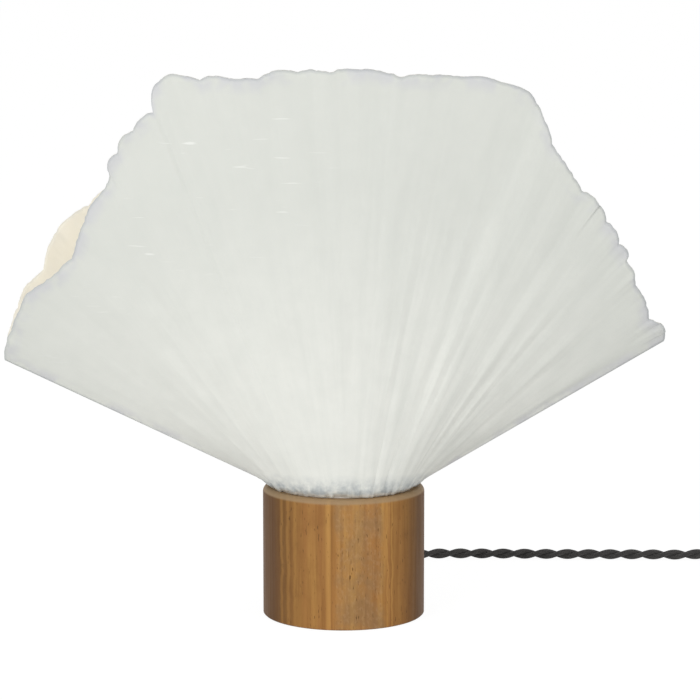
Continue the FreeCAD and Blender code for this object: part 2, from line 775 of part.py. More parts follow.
def make_shade_sheet(name, label, rim, side):
    """One pleated sheet. Every fold line runs straight from the round neck to the torn rim; folds
    stand out and in by turns, with flat panels between them, and the paper's two faces are one paper
    thickness apart. side is -1 for the front sheet and 1 for the back one. The sheets meet along
    the plane of the two corners, and their lower edge lies level on the wood."""
    thickness = float(s.paper_thickness)
    neck_pleat = float(s.neck_pleat)
    rim_pleat = float(s.rim_pleat)
    neck_radius = float(s.dish_radius + s.paper_clearance + s.neck_pleat)
    neck_height = float(s.base_top + s.paper_lift)
    centre_x = float(s.fan_centre_side)
    centre_z = float(s.fan_centre_height)
    folds = 2 * int(float(s.pleats))
    left, right = rim[0][0], rim[-1][0]

    def direction_at(share):
        return left + (right - left) * share

    def radial(share):
        turn = math.pi * share
        return Vector(-math.cos(turn), side * math.sin(turn), 0)

    def neck_point(share, reach=None):
        return radial(share) * neck_radius + Vector(0, 0, neck_height)

    def rim_point(share, reach=None):
        far = reach_at(rim, direction_at(share)) if reach is None else reach
        depth = float(s.mouth_half_depth) * max(math.sin(math.pi * share), 0.0) ** mouth_fullness
        angle = math.radians(direction_at(share))
        return Vector(centre_x + far * math.cos(angle), side * depth, centre_z + far * math.sin(angle))

    def outward(point, share):
        """Unit normal of the unpleated sheet at one end of a fold line, pointing out of the shade."""
        step = 0.25 / folds
        reach = reach_at(rim, direction_at(share))
        across = point(min(share + step, 1.0), reach) - point(max(share - step, 0.0), reach)
        normal = across.cross(rim_point(share) - neck_point(share)).normalize()
        return normal if normal.dot(radial(share)) >= 0 else normal * -1

    outer_neck, inner_neck, outer_rim, inner_rim = [], [], [], []
    for fold in range(folds + 1):
        share = fold / folds
        stand = 0.0 if fold in (0, folds) else (1.0 if fold % 2 else -1.0)
        inside = neck_point(share) + radial(share) * (stand * neck_pleat)
        slope = max(outward(neck_point, share).dot(radial(share)), 0.4)
        inner_neck.append(inside)
        outer_neck.append(inside + radial(share) * (thickness / slope))
        normal = outward(rim_point, share)
        if stand == 0.0:
            normal = Vector(normal.x, 0, normal.z).normalize()
        outer_rim.append(rim_point(share) + normal * (stand * rim_pleat))
        inner_rim.append(outer_rim[-1] - normal * thickness)

    def panels(lower, upper):
        """Flat faces between two rows of fold points, two to a panel."""
        for i in range(folds):
            for corners in (
                [lower[i], lower[i + 1], upper[i + 1]],
                [lower[i], upper[i + 1], upper[i]],
            ):
                yield Part.Face(Part.makePolygon(corners + corners[:1]))

    faces = []
    for lower, upper in (
        (outer_neck, outer_rim),
        (inner_neck, inner_rim),
        (outer_neck, inner_neck),
        (outer_rim, inner_rim),
    ):
        faces += panels(lower, upper)
    for end in (0, -1):
        corners = [outer_neck[end], outer_rim[end], inner_rim[end], inner_neck[end]]
        faces.append(Part.Face(Part.makePolygon(corners + corners[:1])))
    shell = Part.Shell(faces)
    shell.sewShape()
    solid = Part.Solid(shell)
    if solid.Volume < 0:
        solid.reverse()
    keep(made(name, solid), label)


def make_gland():
    """Cord gland in the back wall: flange, tapered nose, shaft, and the nut inside the base."""
    body = new_body("CordGland")
    profile = [
        (s.gland_bore, s.gland_end),
        (s.gland_shaft, s.gland_end),
        (s.gland_shaft, spot_face),
        (s.gland_flange, spot_face),
        (s.gland_flange, gland_flange_face),
        (s.gland_nose_root, gland_flange_face),
        (s.gland_nose_tip, gland_tip),
        (s.gland_bore, gland_tip),
    ]
    turned(body, profile)
    keep(place(body, z=s.exit_height, turn=along_y), "cord_gland")
    half = s.gland_nut_flats / math.sqrt(3.0)
    wall = math.sqrt(float(s.cavity_radius) ** 2 - float(half) ** 2)
    nut_end = s.cavity_radius - (float(s.cavity_radius) - wall) - s.thread_clearance
    nut = hex_nut(
        "GlandNut",
        s.gland_nut_flats,
        s.gland_shaft + s.thread_clearance,
        s.gland_nut_height,
        y=nut_end - s.gland_nut_height,
        z=s.exit_height,
        turn=along_y,
    )
    keep(nut, "gland_nut")


def tube_along(edges, radius):
    """Round tube along a chain of edges that join smoothly."""
    path = Part.Wire(edges)
    start = edges[0].valueAt(edges[0].FirstParameter)
    heading = edges[0].tangentAt(edges[0].FirstParameter)
    section = Part.Wire(Part.makeCircle(radius, start, heading))
    solid = path.makePipeShell([section], True, False)
    expected = math.pi * radius**2 * path.Length
    if abs(solid.Volume / expected - 1.0) > 0.01:
        raise ValueError("a tube's volume is not its section times its length")
    return solid, path.Length


def smooth_route(points):
    """Straight runs joined by arcs. Each arc is as large as its two runs allow."""
    share = 0.45
    edges = []
    radii = []
    here = points[0]
    for before, corner, after in zip(points, points[1:], points[2:]):
        arriving = (corner - before).normalize()
        leaving = (after - corner).normalize()
        half_turn = arriving.getAngle(leaving) / 2
        cut_back = share * min((corner - before).Length, (after - corner).Length)
        radius = cut_back / math.tan(half_turn)
        radii.append(radius)
        start = corner - arriving * cut_back
        end = corner + leaving * cut_back
        inward = (leaving - arriving).normalize()
        middle = corner + inward * (radius / math.cos(half_turn) - radius)
        edges.append(Part.makeLine(here, start))
        edges.append(Part.Arc(start, middle, end).toShape())
        here = end
    edges.append(Part.makeLine(here, points[-1]))
    return edges, radii


def arc_between(start, heading, end):
    """Arc from start to end that leaves start along heading."""
    chord = end - start
    along = Vector(chord).normalize()
    bulge = (heading - along * heading.dot(along)).normalize()
    half_angle = heading.getAngle(chord)
    middle = (start + end) * 0.5 + bulge * (chord.Length / 2 * math.tan(half_angle / 2))
    return Part.Arc(start, middle, end).toShape()


def biarc(start, heading, end, last_heading):
    """Two arcs that join smoothly, from a point and heading to a point and heading."""
    span = end - start
    along = span.dot(heading + last_heading)
    spread = 2 * (1 - heading.dot(last_heading))
    reach = (math.sqrt(along**2 + spread * span.dot(span)) - along) / spread
    joint = (start + end + (heading - last_heading) * reach) * 0.5
    joint_heading = (end - joint).normalize() * 2 * last_heading.dot((end - joint).normalize()) - last_heading
    return [arc_between(start, heading, joint), arc_between(joint, joint_heading, end)]


# Where the cord lies. The points are chosen by hand: out of the gland, down to the table behind the
# base, a right turn, and straight away to the right, where the switch and the coil lie.
floor_line = s.cord_radius + s.cord_floor_gap
switch_start = (285.0, 153.8)
coil_start = (386.0, 152.6)
coil_quarters = 22  # quarter turns of the coil, half of them in each layer
plug_offset = (-56.0, 9.0)  # from the coil's end to the back of the plug, clear of the base
end_run = 14.0  # the cord's last straight run into the switch or the plug
lead_points = [
    (0.0, 0.0, 0.0),  # the gland's tip
    (0.0, 17.0, 0.0),
    (3.0, 37.5, -9.5),
    (13.0, 57.5, -15.8),
    (31.0, 74.3, -16.45),
    (58.0, 83.3, -16.45),
    (100.0, 83.2, -16.45),
    (160.0, 80.9, -16.45),
    (215.0, 80.3, -16.45),
    (252.0, 78.3, -16.45),
]


def make_cord():
    """The free cord: lead, switch, link, coil and tail, laid on the table and ending at the plug."""
    radius = float(s.cord_radius)
    floor = float(floor_line)
    tip = Vector(0, float(gland_tip), float(s.exit_height))
    make_cord_inside(tip)

    switch_height = float(s.switch_half + s.cord_floor_gap)
    end = Vector(switch_start[0], switch_start[1], switch_height)
    lead = [tip + Vector(*point) for point in lead_points]
    for point in lead[3:]:
        point.z = max(point.z, floor)
    lead += [end - Vector(end_run, 0, 0), end]

    coil_low = float(s.cord_floor_gap + s.tie_thickness + s.screw_clearance + s.cord_radius)
    outer = float(s.coil_radius)
    pitch = float(s.coil_pitch)
    first = Vector(coil_start[0], coil_start[1], coil_low)
    centre = Vector(first.x, first.y - outer, 0)
    last = Vector(first.x, centre.y - outer, coil_low + pitch)
    straight_end = Vector(2 * radius, 0, 0)
    link_start = end + Vector(float(s.switch_length), 0, 0)
    link_end = first - straight_end
    link = [link_start, link_start + Vector(7, 0, 0), link_end - Vector(7, 0, 0), link_end]
    tail_start = last - straight_end
    plug_axis = float(s.plug_height / 2 + s.cord_floor_gap)
    plug_back = tail_start + Vector(*plug_offset, plug_axis - tail_start.z)
    run = Vector(end_run, 0, 0)
    tail = [tail_start, tail_start - run, plug_back + run, plug_back]

    total = 0.0
    for name, points in (("lead", lead), ("link", link), ("tail", tail)):
        edges, radii = smooth_route(points)
        solid, length = tube_along(edges, radius)
        total += length
        print("cord", name, "length", round(length, 1), "radii", [round(r) for r in radii])
        keep(made("Cord" + name.capitalize(), solid), "cord_" + name)

    # The coil is a spiral in on the table, one half turn in which it reverses and climbs a layer, and
    # a spiral out on top. It is worked out at each quarter turn and filled in with pairs of arcs.
    quarters = coil_quarters
    middle = quarters / 2
    stations = []
    for quarter in range(quarters + 1):
        turned_by = quarter * math.pi / 2
        away = abs(quarter - middle)
        distance = outer - pitch * (middle - away) / 4
        climb = min(max((quarter - middle + 1) / 2, 0.0), 1.0)
        angle = math.pi / 2 - turned_by
        out = Vector(math.cos(angle), math.sin(angle), 0)
        along = Vector(math.sin(angle), -math.cos(angle), 0)
        drift = 0.0 if quarter in (0, middle, quarters) else (1 if quarter > middle else -1)
        heading = along + out * (drift * pitch / (2 * math.pi) / distance)
        if quarter == middle:
            heading = heading + Vector(0, 0, pitch / (math.pi * distance))
        place_here = centre + out * distance + Vector(0, 0, coil_low + pitch * climb)
        stations.append((place_here, heading.normalize()))
    edges = [Part.makeLine(link_end, first)]
    for (start, heading), (finish, last_heading) in zip(stations, stations[1:]):
        edges += biarc(start, heading, finish, last_heading)
    edges.append(Part.makeLine(last, tail_start))
    solid, length = tube_along(edges, radius)
    total += length
    print("cord coil length", round(length, 1), "turns", quarters / 4)
    print_least_gap(edges, 2 * radius)
    keep(made("CordCoil", solid), "cord_coil")
    total += float(s.switch_length)
    print("cord from the gland's tip to the plug", round(total, 1))
    make_tie(centre, coil_low)
    make_switch(end.y)
    make_plug(plug_back)


def print_least_gap(edges, diameter):
    """Least gap of the coil to itself, measured on points about 2 mm apart."""
    points = []
    for edge in edges:
        points += edge.discretize(Number=max(int(edge.Length / 2), 2))[:-1]
    skip = int(1.6 * diameter)
    least = 1e9
    for i, point in enumerate(points):
        for other in points[i + skip :]:
            least = min(least, point.distanceToPoint(other))
    print("coil's least gap to itself", round(least - diameter, 2))


def make_tie(centre, coil_low):
    """Flat strap round the coil on its right, where three turns lie on three."""
    radius = float(s.cord_radius)
    pitch = float(s.coil_pitch)
    strap = float(s.tie_thickness)
    width = float(s.tie_width)
    outermost = float(s.coil_radius) - pitch / 4 + radius + float(s.tie_clearance)
    across = 2 * (pitch + radius + float(s.tie_clearance))
    under = coil_low - radius - float(s.screw_clearance)
    over = coil_low + pitch + radius + float(s.screw_clearance)
    corner = Vector(centre.x + outermost - across, centre.y, 0)
    hole = Part.makeBox(across, 2 * width, over - under)
    hole.translate(corner + Vector(0, -width, under))
    band = Part.makeBox(across + 2 * strap, width, over - under + 2 * strap)
    band.translate(corner + Vector(-strap, -width / 2, under - strap))
    corners = [edge for edge in band.Edges if abs(edge.tangentAt(0).y) > 0.9]
    band = band.makeFillet(strap, corners)
    keep(made("CoilTie", band.cut(hole)), "coil_tie")


def make_switch(line_y):
    """Cord switch: two moulded halves, a rocker on two pins, contacts inside and two screws."""
    middle_x = s.switch_length / 2 + switch_start[0]
    foot = s.cord_floor_gap
    half_length = s.switch_length / 2
    half_width = s.switch_width / 2
    space_length = s.switch_length / 2 - s.switch_end_wall
    space_width = half_width - s.switch_side_wall
    pivot_height = 2 * s.switch_half - s.switch_wall - s.rocker_side_gap - s.pivot_radius
    slot_length = s.rocker_length / 2 + s.rocker_gap
    slot_width = s.rocker_width / 2 + s.rocker_side_gap
    screw_x = half_length - s.switch_end_wall / 2

    def rectangle(sketch, half_x, half_y):
        draw_outline(
            sketch,
            [(0 - half_x, 0 - half_y), (half_x, 0 - half_y), (half_x, half_y), (0 - half_x, half_y)],
        )

    def upright(edge):
        return abs(edge.tangentAt(edge.FirstParameter).z) > 0.999

    def level_at(height):
        def wanted(edge):
            ends = [vertex.Point.z for vertex in edge.Vertexes]
            return all(abs(z - float(height)) < 0.001 for z in ends)

        return wanted

    for name, label in (("SwitchBase", "switch_base"), ("SwitchCover", "switch_cover")):
        lower = label == "switch_base"
        body = new_body(name)
        foot_plane = 0 * s.switch_half if lower else s.switch_half
        outline = new_sketch(body, name + "Outline", "XY_Plane", foot_plane)
        rectangle(outline, half_length, half_width)
        pad = add_pad(body, outline, s.switch_half)
        rounded = round_edges(body, pad, s.switch_corner, upright)
        if lower:
            bevel_edges(body, rounded, s.switch_edge, level_at(0))
        else:
            round_edges(body, rounded, s.switch_edge, level_at(2 * s.switch_half))
        space = new_sketch(body, name + "Space", "XY_Plane", s.switch_half)
        rectangle(space, space_length, space_width)
        cut_pocket(body, space, s.switch_half - s.switch_wall, reverse=not lower)
        if lower:
            posts = new_sketch(body, "PivotPosts", "XY_Plane", s.switch_wall)
            for side in (-1, 1):
                near = (slot_width + s.rocker_side_gap) * side
                far = (slot_width + s.pivot_reach) * side
                draw_outline(
                    posts,
                    [(-2.0, near), (2.0, near), (2.0, far), (-2.0, far)],
                )
            post_height = pivot_height - s.pivot_radius - s.rocker_side_gap - s.switch_wall
            add_pad(body, posts, post_height)
        else:
            slot = new_sketch(body, "RockerSlot", "XY_Plane", s.switch_half)
            rectangle(slot, slot_length, slot_width)
            cut_pocket(body, slot, reverse=True)
        holes = [(name + "ScrewHole", s.switch_screw_radius + s.screw_clearance, s.switch_half / 2)]
        if lower:
            holes = [
                (name + "ScrewHole", s.switch_screw_radius + s.screw_clearance, s.switch_half + 1.0),
                (name + "HeadHole", s.switch_screw_head + s.screw_clearance, s.switch_wall),
            ]
        for hole_name, hole_radius, depth in holes:
            hole = new_sketch(body, hole_name, "XY_Plane", 0 * s.switch_half if lower else s.switch_half)
            draw_circle(hole, screw_x, 0, hole_radius)
            draw_circle(hole, 0 - screw_x, 0, hole_radius)
            cut_pocket(body, hole, depth, reverse=True)
        place(body, middle_x, line_y, foot)
        keep(body, label)

    rocker = new_body("SwitchRocker")
    end_x = s.rocker_length / 2
    hollow = s.rocker_rise - s.rocker_dip
    shoulder = s.pivot_radius - s.rocker_side_gap
    profile = [
        (0 - end_x, shoulder),
        (-2.0, 0 - 2 * s.pivot_radius),
        (2.0, 0 - 2 * s.pivot_radius),
        (end_x, shoulder),
        (end_x, s.rocker_rise),
        (0, hollow),
        (0 - end_x, s.rocker_rise),
    ]
    outline = new_sketch(rocker, "RockerProfile", "XZ_Plane")
    draw_outline(outline, profile)
    add_pad(rocker, outline, s.rocker_width, both=True)
    pins = new_sketch(rocker, "RockerPins", "XZ_Plane")
    draw_circle(pins, 0, 0, s.pivot_radius)
    add_pad(rocker, pins, s.rocker_width + 2 * s.pivot_reach, both=True)
    tilt = Rotation(Vector(0, 1, 0), -float(s.rocker_tilt))
    keep(place(rocker, middle_x, line_y, foot + pivot_height, tilt), "switch_rocker")

    contacts = []
    for i, side in enumerate((-1, 1)):
        x = middle_x + (space_length - 5.0) * side
        contacts.append(box("SwitchTerminal%d" % i, s.switch_end_wall, 8.0, 4.0, x, line_y, foot + s.switch_wall))
    keep(group("SwitchContacts", contacts), "switch_contacts")

    screws = []
    for i, side in enumerate((-1, 1)):
        x = middle_x + screw_x * side
        head_height = s.switch_wall - s.screw_clearance
        head_foot = foot + s.screw_clearance
        head = cylinder("SwitchScrewHead%d" % i, s.switch_screw_head, head_height, x, line_y, head_foot)
        length = s.switch_half * 1.4
        shank = cylinder("SwitchScrewShank%d" % i, s.switch_screw_radius, length, x, line_y, head_foot)
        screws.append(joined("SwitchScrew%d" % i, [head, shank]))
    keep(group("SwitchScrews", screws), "switch_screws")


def make_plug(back):
    """Flat two-pin plug: a body that narrows to the cord, two pins and their insulating sleeves."""
    length = float(s.plug_length)
    width = float(s.plug_width)
    height = float(s.plug_height)
    neck = 2.6 * float(s.cord_radius)

    def section(distance, across, thick):
        """Rounded oblong across the plug, this far from its pin face."""
        corner = 0.34 * min(across, thick)
        plate = Part.makePlane(across, thick, Vector(-across / 2, -thick / 2, 0))
        wire = plate.Wires[0].makeOffset2D(-corner, 0).makeOffset2D(corner, 0)
        wire.rotate(Vector(0, 0, 0), Vector(0, 0, 1), 0)
        turned_wire = wire.copy()
        turned_wire.Placement = Placement(Vector(0, 0, 0), Rotation(90, 0, 90))
        turned_wire.translate(Vector(back.x - length + distance, back.y, back.z))
        return turned_wire

    wires = [
        section(0.0, width, height),
        section(0.36 * length, width * 0.95, height),
        section(0.62 * length, width * 0.62, height * 0.9),
        section(0.8 * length, neck * 1.15, neck * 1.1),
        section(length, neck, neck),
    ]
    keep(made("PlugBody", Part.makeLoft(wires, True, False)), "plug_body")

    core = s.pin_radius - s.sleeve_wall
    pins = []
    sleeves = []
    for i, side in enumerate((-1, 1)):
        y = back.y + float(s.pin_spacing) / 2 * side
        pin = new_body("PlugPin%d" % i)
        tip = s.pin_length - s.pin_radius / 2
        profile = [
            (0, 0),
            (core, 0),
            (core, s.pin_sleeve),
            (s.pin_radius, s.pin_sleeve),
            (s.pin_radius, tip),
            (s.pin_radius / 2, s.pin_length),
            (0, s.pin_length),
        ]
        turned(pin, profile)
        place(pin, back.x - s.plug_length, y, back.z, along_minus_x)
        pins.append(pin)
        sleeve = new_body("PinSleeve%d" % i)
        inner = core + s.thread_clearance
        sleeve_end = s.pin_sleeve - s.thread_clearance
        turned(sleeve, [(inner, 0), (s.pin_radius, 0), (s.pin_radius, sleeve_end), (inner, sleeve_end)])
        place(sleeve, back.x - s.plug_length, y, back.z, along_minus_x)
        sleeves.append(sleeve)
    keep(group("PlugPins", pins), "plug_pins")
    keep(group("PinSleeves", sleeves), "pin_sleeves")


def make_cord_inside(tip):
    """The cord inside: straight through the gland, bent up, through the threaded tube to the holder,
    and its two cores from there to the contact block."""
    bend = float(s.inner_bend)
    slant = math.sqrt(0.5)
    height = tip.z
    top = float(cap_shoulder + s.holder_wall)
    bend_start = Vector(0, bend, height)
    bend_middle = Vector(0, bend * (1 - slant), height + bend * (1 - slant))
    bend_end = Vector(0, 0, height + bend)
    edges = [
        Part.makeLine(tip, bend_start),
        Part.Arc(bend_start, bend_middle, bend_end).toShape(),
        Part.makeLine(bend_end, Vector(0, 0, top)),
    ]
    keep(made("CordInner", tube_along(edges, float(s.cord_radius))[0]), "cord_inner")
    cores = []
    for i, side in enumerate((-1, 1)):
        length = insert_foot - cap_shoulder - s.holder_wall
        cores.append(cylinder("Core%d" % i, s.core_radius, length, s.core_spread * side, 0, top))
    keep(group("InnerLeads", cores), "inner_leads")


make_base_body()
make_foot()
make_stem()
make_shade_dish()
make_lamp_holder()
make_bulb()
make_shade_sheet("ShadeFront", "shade_front", front_rim, -1)
make_shade_sheet("ShadeBack", "shade_back", back_rim, 1)
make_gland()
make_cord()
doc.recompute()

# ---- every feature must be sound before anything is written

for thing in doc.Objects:
    if "Invalid" in thing.State or "Error" in thing.State:
        raise ValueError("%s failed: %s" % (thing.Name, thing.State))
for node in nodes:
    if node.Shape.isNull() or not node.Shape.isValid():
        raise ValueError(node.Label + " has no sound shape")
    if any(solid.Volume <= 0 for solid in node.Shape.Solids):
        raise ValueError(node.Label + " has a solid inside out")

os.makedirs("parts", exist_ok=True)
for node in nodes:
    node.Shape.exportStep("parts/%s.step" % node.Label)
print(len(nodes), "nodes written")
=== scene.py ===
import json
import math

import bpy
import numpy as np
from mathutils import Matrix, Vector


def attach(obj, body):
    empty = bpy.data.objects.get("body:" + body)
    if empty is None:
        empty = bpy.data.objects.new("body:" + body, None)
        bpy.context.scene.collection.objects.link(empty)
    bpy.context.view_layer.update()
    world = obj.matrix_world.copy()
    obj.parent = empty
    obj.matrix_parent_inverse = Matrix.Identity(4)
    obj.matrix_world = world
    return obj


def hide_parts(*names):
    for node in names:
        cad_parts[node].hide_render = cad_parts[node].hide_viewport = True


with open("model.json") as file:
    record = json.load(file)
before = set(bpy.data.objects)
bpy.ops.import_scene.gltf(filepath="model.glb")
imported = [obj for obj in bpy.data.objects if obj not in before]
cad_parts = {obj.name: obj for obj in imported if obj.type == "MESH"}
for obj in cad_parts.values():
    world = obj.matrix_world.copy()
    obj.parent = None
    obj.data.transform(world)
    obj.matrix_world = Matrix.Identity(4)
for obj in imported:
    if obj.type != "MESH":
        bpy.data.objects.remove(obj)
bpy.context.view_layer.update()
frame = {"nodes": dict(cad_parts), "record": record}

millimetre = 0.001
nodes = frame["nodes"]


def linearColour(hexText):  # sRGB hex to the linear colour that a shader takes
    parts = [int(hexText[i:i + 2], 16) / 255 for i in (1, 3, 5)]
    return tuple(c / 12.92 if c <= 0.04045 else ((c + 0.055) / 1.055) ** 2.4 for c in parts) + (1.0,)


def setInputs(tree, node, inputs):  # a value goes on the socket itself, a socket is linked to it
    for name, value in inputs.items():
        if isinstance(value, bpy.types.NodeSocket):
            tree.links.new(value, node.inputs[name])
        else:
            node.inputs[name].default_value = value


def addNode(tree, kind, inputs=None, **settings):  # a shader node with its settings, values and links
    node = tree.nodes.new("ShaderNode" + kind)
    for name, value in settings.items():
        setattr(node, name, value)
    setInputs(tree, node, inputs or {})
    return node


def emptyTree(owner):  # the node tree of a material or a world, with nothing in it
    owner.use_nodes = True
    owner.node_tree.nodes.clear()
    return owner.node_tree


def startMaterial(name):  # a new material with its tree, shader and object coordinates
    material = bpy.data.materials.new(name)
    tree = emptyTree(material)
    shader = addNode(tree, "BsdfPrincipled")
    addNode(tree, "OutputMaterial", {"Surface": shader.outputs["BSDF"]})
    place = addNode(tree, "TexCoord").outputs["Object"]
    return material, tree, shader, place


def distanceFrom(tree, value, place):  # how far a coordinate is from a place, in metres
    offset = addNode(tree, "Math", {0: value, 1: place}, operation="SUBTRACT").outputs[0]
    return addNode(tree, "Math", {0: offset}, operation="ABSOLUTE").outputs[0]


# a long lens a little above the lamp, looking along +Y
cameraSet = {
    "lens": 152.81, "sensor": 36.0, "farClip": 50.0, "place": (0.00412, -1.8966, 0.465), "down": 8.74,
}
cameraData = bpy.data.cameras.new("camera")
cameraData.lens = cameraSet["lens"]
cameraData.sensor_width = cameraSet["sensor"]
cameraData.clip_end = cameraSet["farClip"]
camera = bpy.data.objects.new("camera", cameraData)
camera.location = cameraSet["place"]
camera.rotation_euler = (math.radians(90 - cameraSet["down"]), 0.0, 0.0)
bpy.context.collection.objects.link(camera)
bpy.context.scene.camera = camera
bpy.context.scene.view_settings.view_transform = "Standard"
print("camera placed")


def gridMesh(name, surfaces, closedAcross=False, closedAlong=False, capEnds=False, mappings=None):
    # each surface is points[i, j] of two parameters; neighbours i, i+1 and j, j+1 become one four-sided face
    faces, start = [], 0
    for points in surfaces:
        rows, columns = points.shape[:2]
        index = start + np.arange(rows * columns).reshape(rows, columns)
        start += rows * columns
        if closedAlong:
            index = np.vstack([index, index[:1]])
        if closedAcross:
            index = np.hstack([index, index[:, :1]])
        corners = [index[:-1, :-1], index[:-1, 1:], index[1:, 1:], index[1:, :-1]]
        faces += np.stack(corners, -1).reshape(-1, 4).tolist()
        if capEnds:
            faces += [index[0, :columns][::-1].tolist(), index[-1, :columns].tolist()]
    mesh = bpy.data.meshes.new(name)
    mesh.from_pydata(np.concatenate([points.reshape(-1, 3) for points in surfaces]).tolist(), [], faces)
    mesh.polygons.foreach_set("use_smooth", np.ones(len(mesh.polygons), bool))
    if mappings is not None:  # each surface's own places in metres, for patterns that follow it
        own = np.concatenate([mapping.reshape(-1, 2) for mapping in mappings]).astype(np.float32)
        vertex = np.empty(len(mesh.loops), np.int64)
        mesh.loops.foreach_get("vertex_index", vertex)
        mesh.uv_layers.new(name="UVMap").data.foreach_set("uv", own[vertex].ravel())
    mesh.validate()
    mesh.update()
    return mesh


def addPiece(name, mesh, materials):  # a piece that stands still with the lamp
    piece = bpy.data.objects.new(name, mesh)
    bpy.context.collection.objects.link(piece)
    for material in materials:
        mesh.materials.append(material)
    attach(piece, "lamp")
    return piece


def unit(vectors):  # each vector divided by its length
    return vectors / np.maximum(np.linalg.norm(vectors, axis=-1, keepdims=True), 1e-12)


# black textile twisted pair; the control points are those of the part's own route, in mm
cordSet = {
    "lay": 30.2,  # one full twist of the two strands, mm
    "twistAt": 5.9,  # mm that the twist is moved along, to cross where the photograph's does
    "strandRadius": 1.8,
    "strandOffset": 1.75,
    "step": 1.3,  # length between two rings of the mesh, mm
    "sides": 14,
    "black": "#2c2b2b",
    "thread": "#4a4846",
    "threadWidth": 0.9,  # mm; the real braid's threads are half as wide
    "threadAngle": 35,  # degrees, to both sides
    "dust": 6.0,  # mm between paler patches
}
leadRoute = [
    (0.0, 75.3, 20.0), (0.0, 92.3, 20.0), (3.0, 112.8, 10.5), (13.0, 132.8, 4.2), (31.0, 149.6, 3.55),
    (58.0, 158.6, 3.55), (100.0, 158.5, 3.55), (160.0, 156.2, 3.55), (215.0, 155.6, 3.55),
    (252.0, 153.6, 3.55), (271.0, 153.8, 8.05), (285.0, 153.8, 8.05),
]
coilSet = {
    "centre": (386.0, 104.6), "radius": 48.0, "pitch": 7.6, "low": 4.65,
    "quarters": 22, "pointsPerQuarter": 4,
}
linkRoute = [(345.0, 153.8, 8.05), (352.0, 153.8, 8.05), (372.0, 152.6, 4.65), (379.0, 152.6, 4.65)]
tailRoute = [(379.0, 56.6, 12.25), (365.0, 56.6, 12.25), (337.0, 65.6, 6.9), (323.0, 65.6, 6.9)]


def coilPoints(settings):
    # a flat spiral inwards, half a turn in which it climbs one layer, and a spiral outwards on top:
    # the radius grows by a quarter of the pitch with each quarter turn away from the middle one
    count = settings["quarters"] * settings["pointsPerQuarter"]
    quarter = np.arange(count + 1) / settings["pointsPerQuarter"]
    middle = settings["quarters"] / 2
    away = np.abs(quarter - middle)
    radius = settings["radius"] - settings["pitch"] * (middle - away) / 4
    turn = math.pi / 2 / settings["pointsPerQuarter"]
    inside = (math.cos(turn) + 0.75 + 0.25 * math.cos(2 * turn)) / 2  # puts the spline 6% outside the radius
    angle = math.pi / 2 - quarter * math.pi / 2
    x = settings["centre"][0] + radius / inside * np.cos(angle)
    y = settings["centre"][1] + radius / inside * np.sin(angle)
    z = settings["low"] + settings["pitch"] * np.clip((quarter - middle + 1) / 2, 0, 1)
    return list(zip(x, y, z))


def splineLine(name, route):  # the smooth line that the route's control points give, as Blender works it out
    curve = bpy.data.curves.new(name, "CURVE")
    curve.dimensions = "3D"
    spline = curve.splines.new("NURBS")
    spline.points.add(len(route) - 1)
    points = np.hstack([np.array(route) * millimetre, np.ones((len(route), 1))])  # x, y, z and weight
    spline.points.foreach_set("co", points.ravel())
    spline.order_u = 3
    spline.use_endpoint_u = True
    spline.resolution_u = 12
    holder = bpy.data.objects.new(name, curve)
    mesh = bpy.data.meshes.new_from_object(holder)
    line = np.empty(len(mesh.vertices) * 3)
    mesh.vertices.foreach_get("co", line)
    bpy.data.objects.remove(holder)
    bpy.data.curves.remove(curve)
    bpy.data.meshes.remove(mesh)
    return line.reshape(-1, 3)


def evenLine(line, step):  # the same line with points an even step apart, and the length up to each
    length = np.concatenate([[0], np.cumsum(np.linalg.norm(np.diff(line, axis=0), axis=1))])
    keep = np.concatenate([[True], np.diff(length) > 1e-9])
    line, length = line[keep], length[keep]
    where = np.linspace(0, length[-1], int(length[-1] / step))
    return np.stack([np.interp(where, length, line[:, k]) for k in range(3)], 1), where


def twistedPair(name, line, settings):
    # each strand's centre goes round the line: line + offset * (cos(turn) * side + sin(turn) * up),
    # and each ring is centre + radius * (cos(v) * outwards + sin(v) * across)
    points, length = evenLine(line, settings["step"] * millimetre)
    along = unit(np.gradient(points, axis=0))
    side = unit(np.cross(along, [0.0, 0.0, 1.0]))
    up = np.cross(side, along)
    around = np.linspace(0, 2 * math.pi, settings["sides"], endpoint=False)
    radius = settings["strandRadius"] * millimetre
    surfaces, mappings = [], []
    for start in (0.0, math.pi):
        turn = (length / millimetre + settings["twistAt"]) / settings["lay"] * 2 * math.pi + start
        outwards = np.cos(turn)[:, None] * side + np.sin(turn)[:, None] * up
        centre = points + settings["strandOffset"] * millimetre * outwards
        strandAlong = unit(np.gradient(centre, axis=0))
        across = unit(np.cross(strandAlong, outwards))
        outwards = np.cross(across, strandAlong)
        ring = np.cos(around)[:, None] * outwards[:, None] + np.sin(around)[:, None] * across[:, None]
        surfaces.append(centre[:, None] + radius * ring)
        mappings.append(np.stack(np.broadcast_arrays((around * radius)[None, :], length[:, None]), -1))
    return gridMesh(name, surfaces, closedAcross=True, capEnds=True, mappings=mappings)


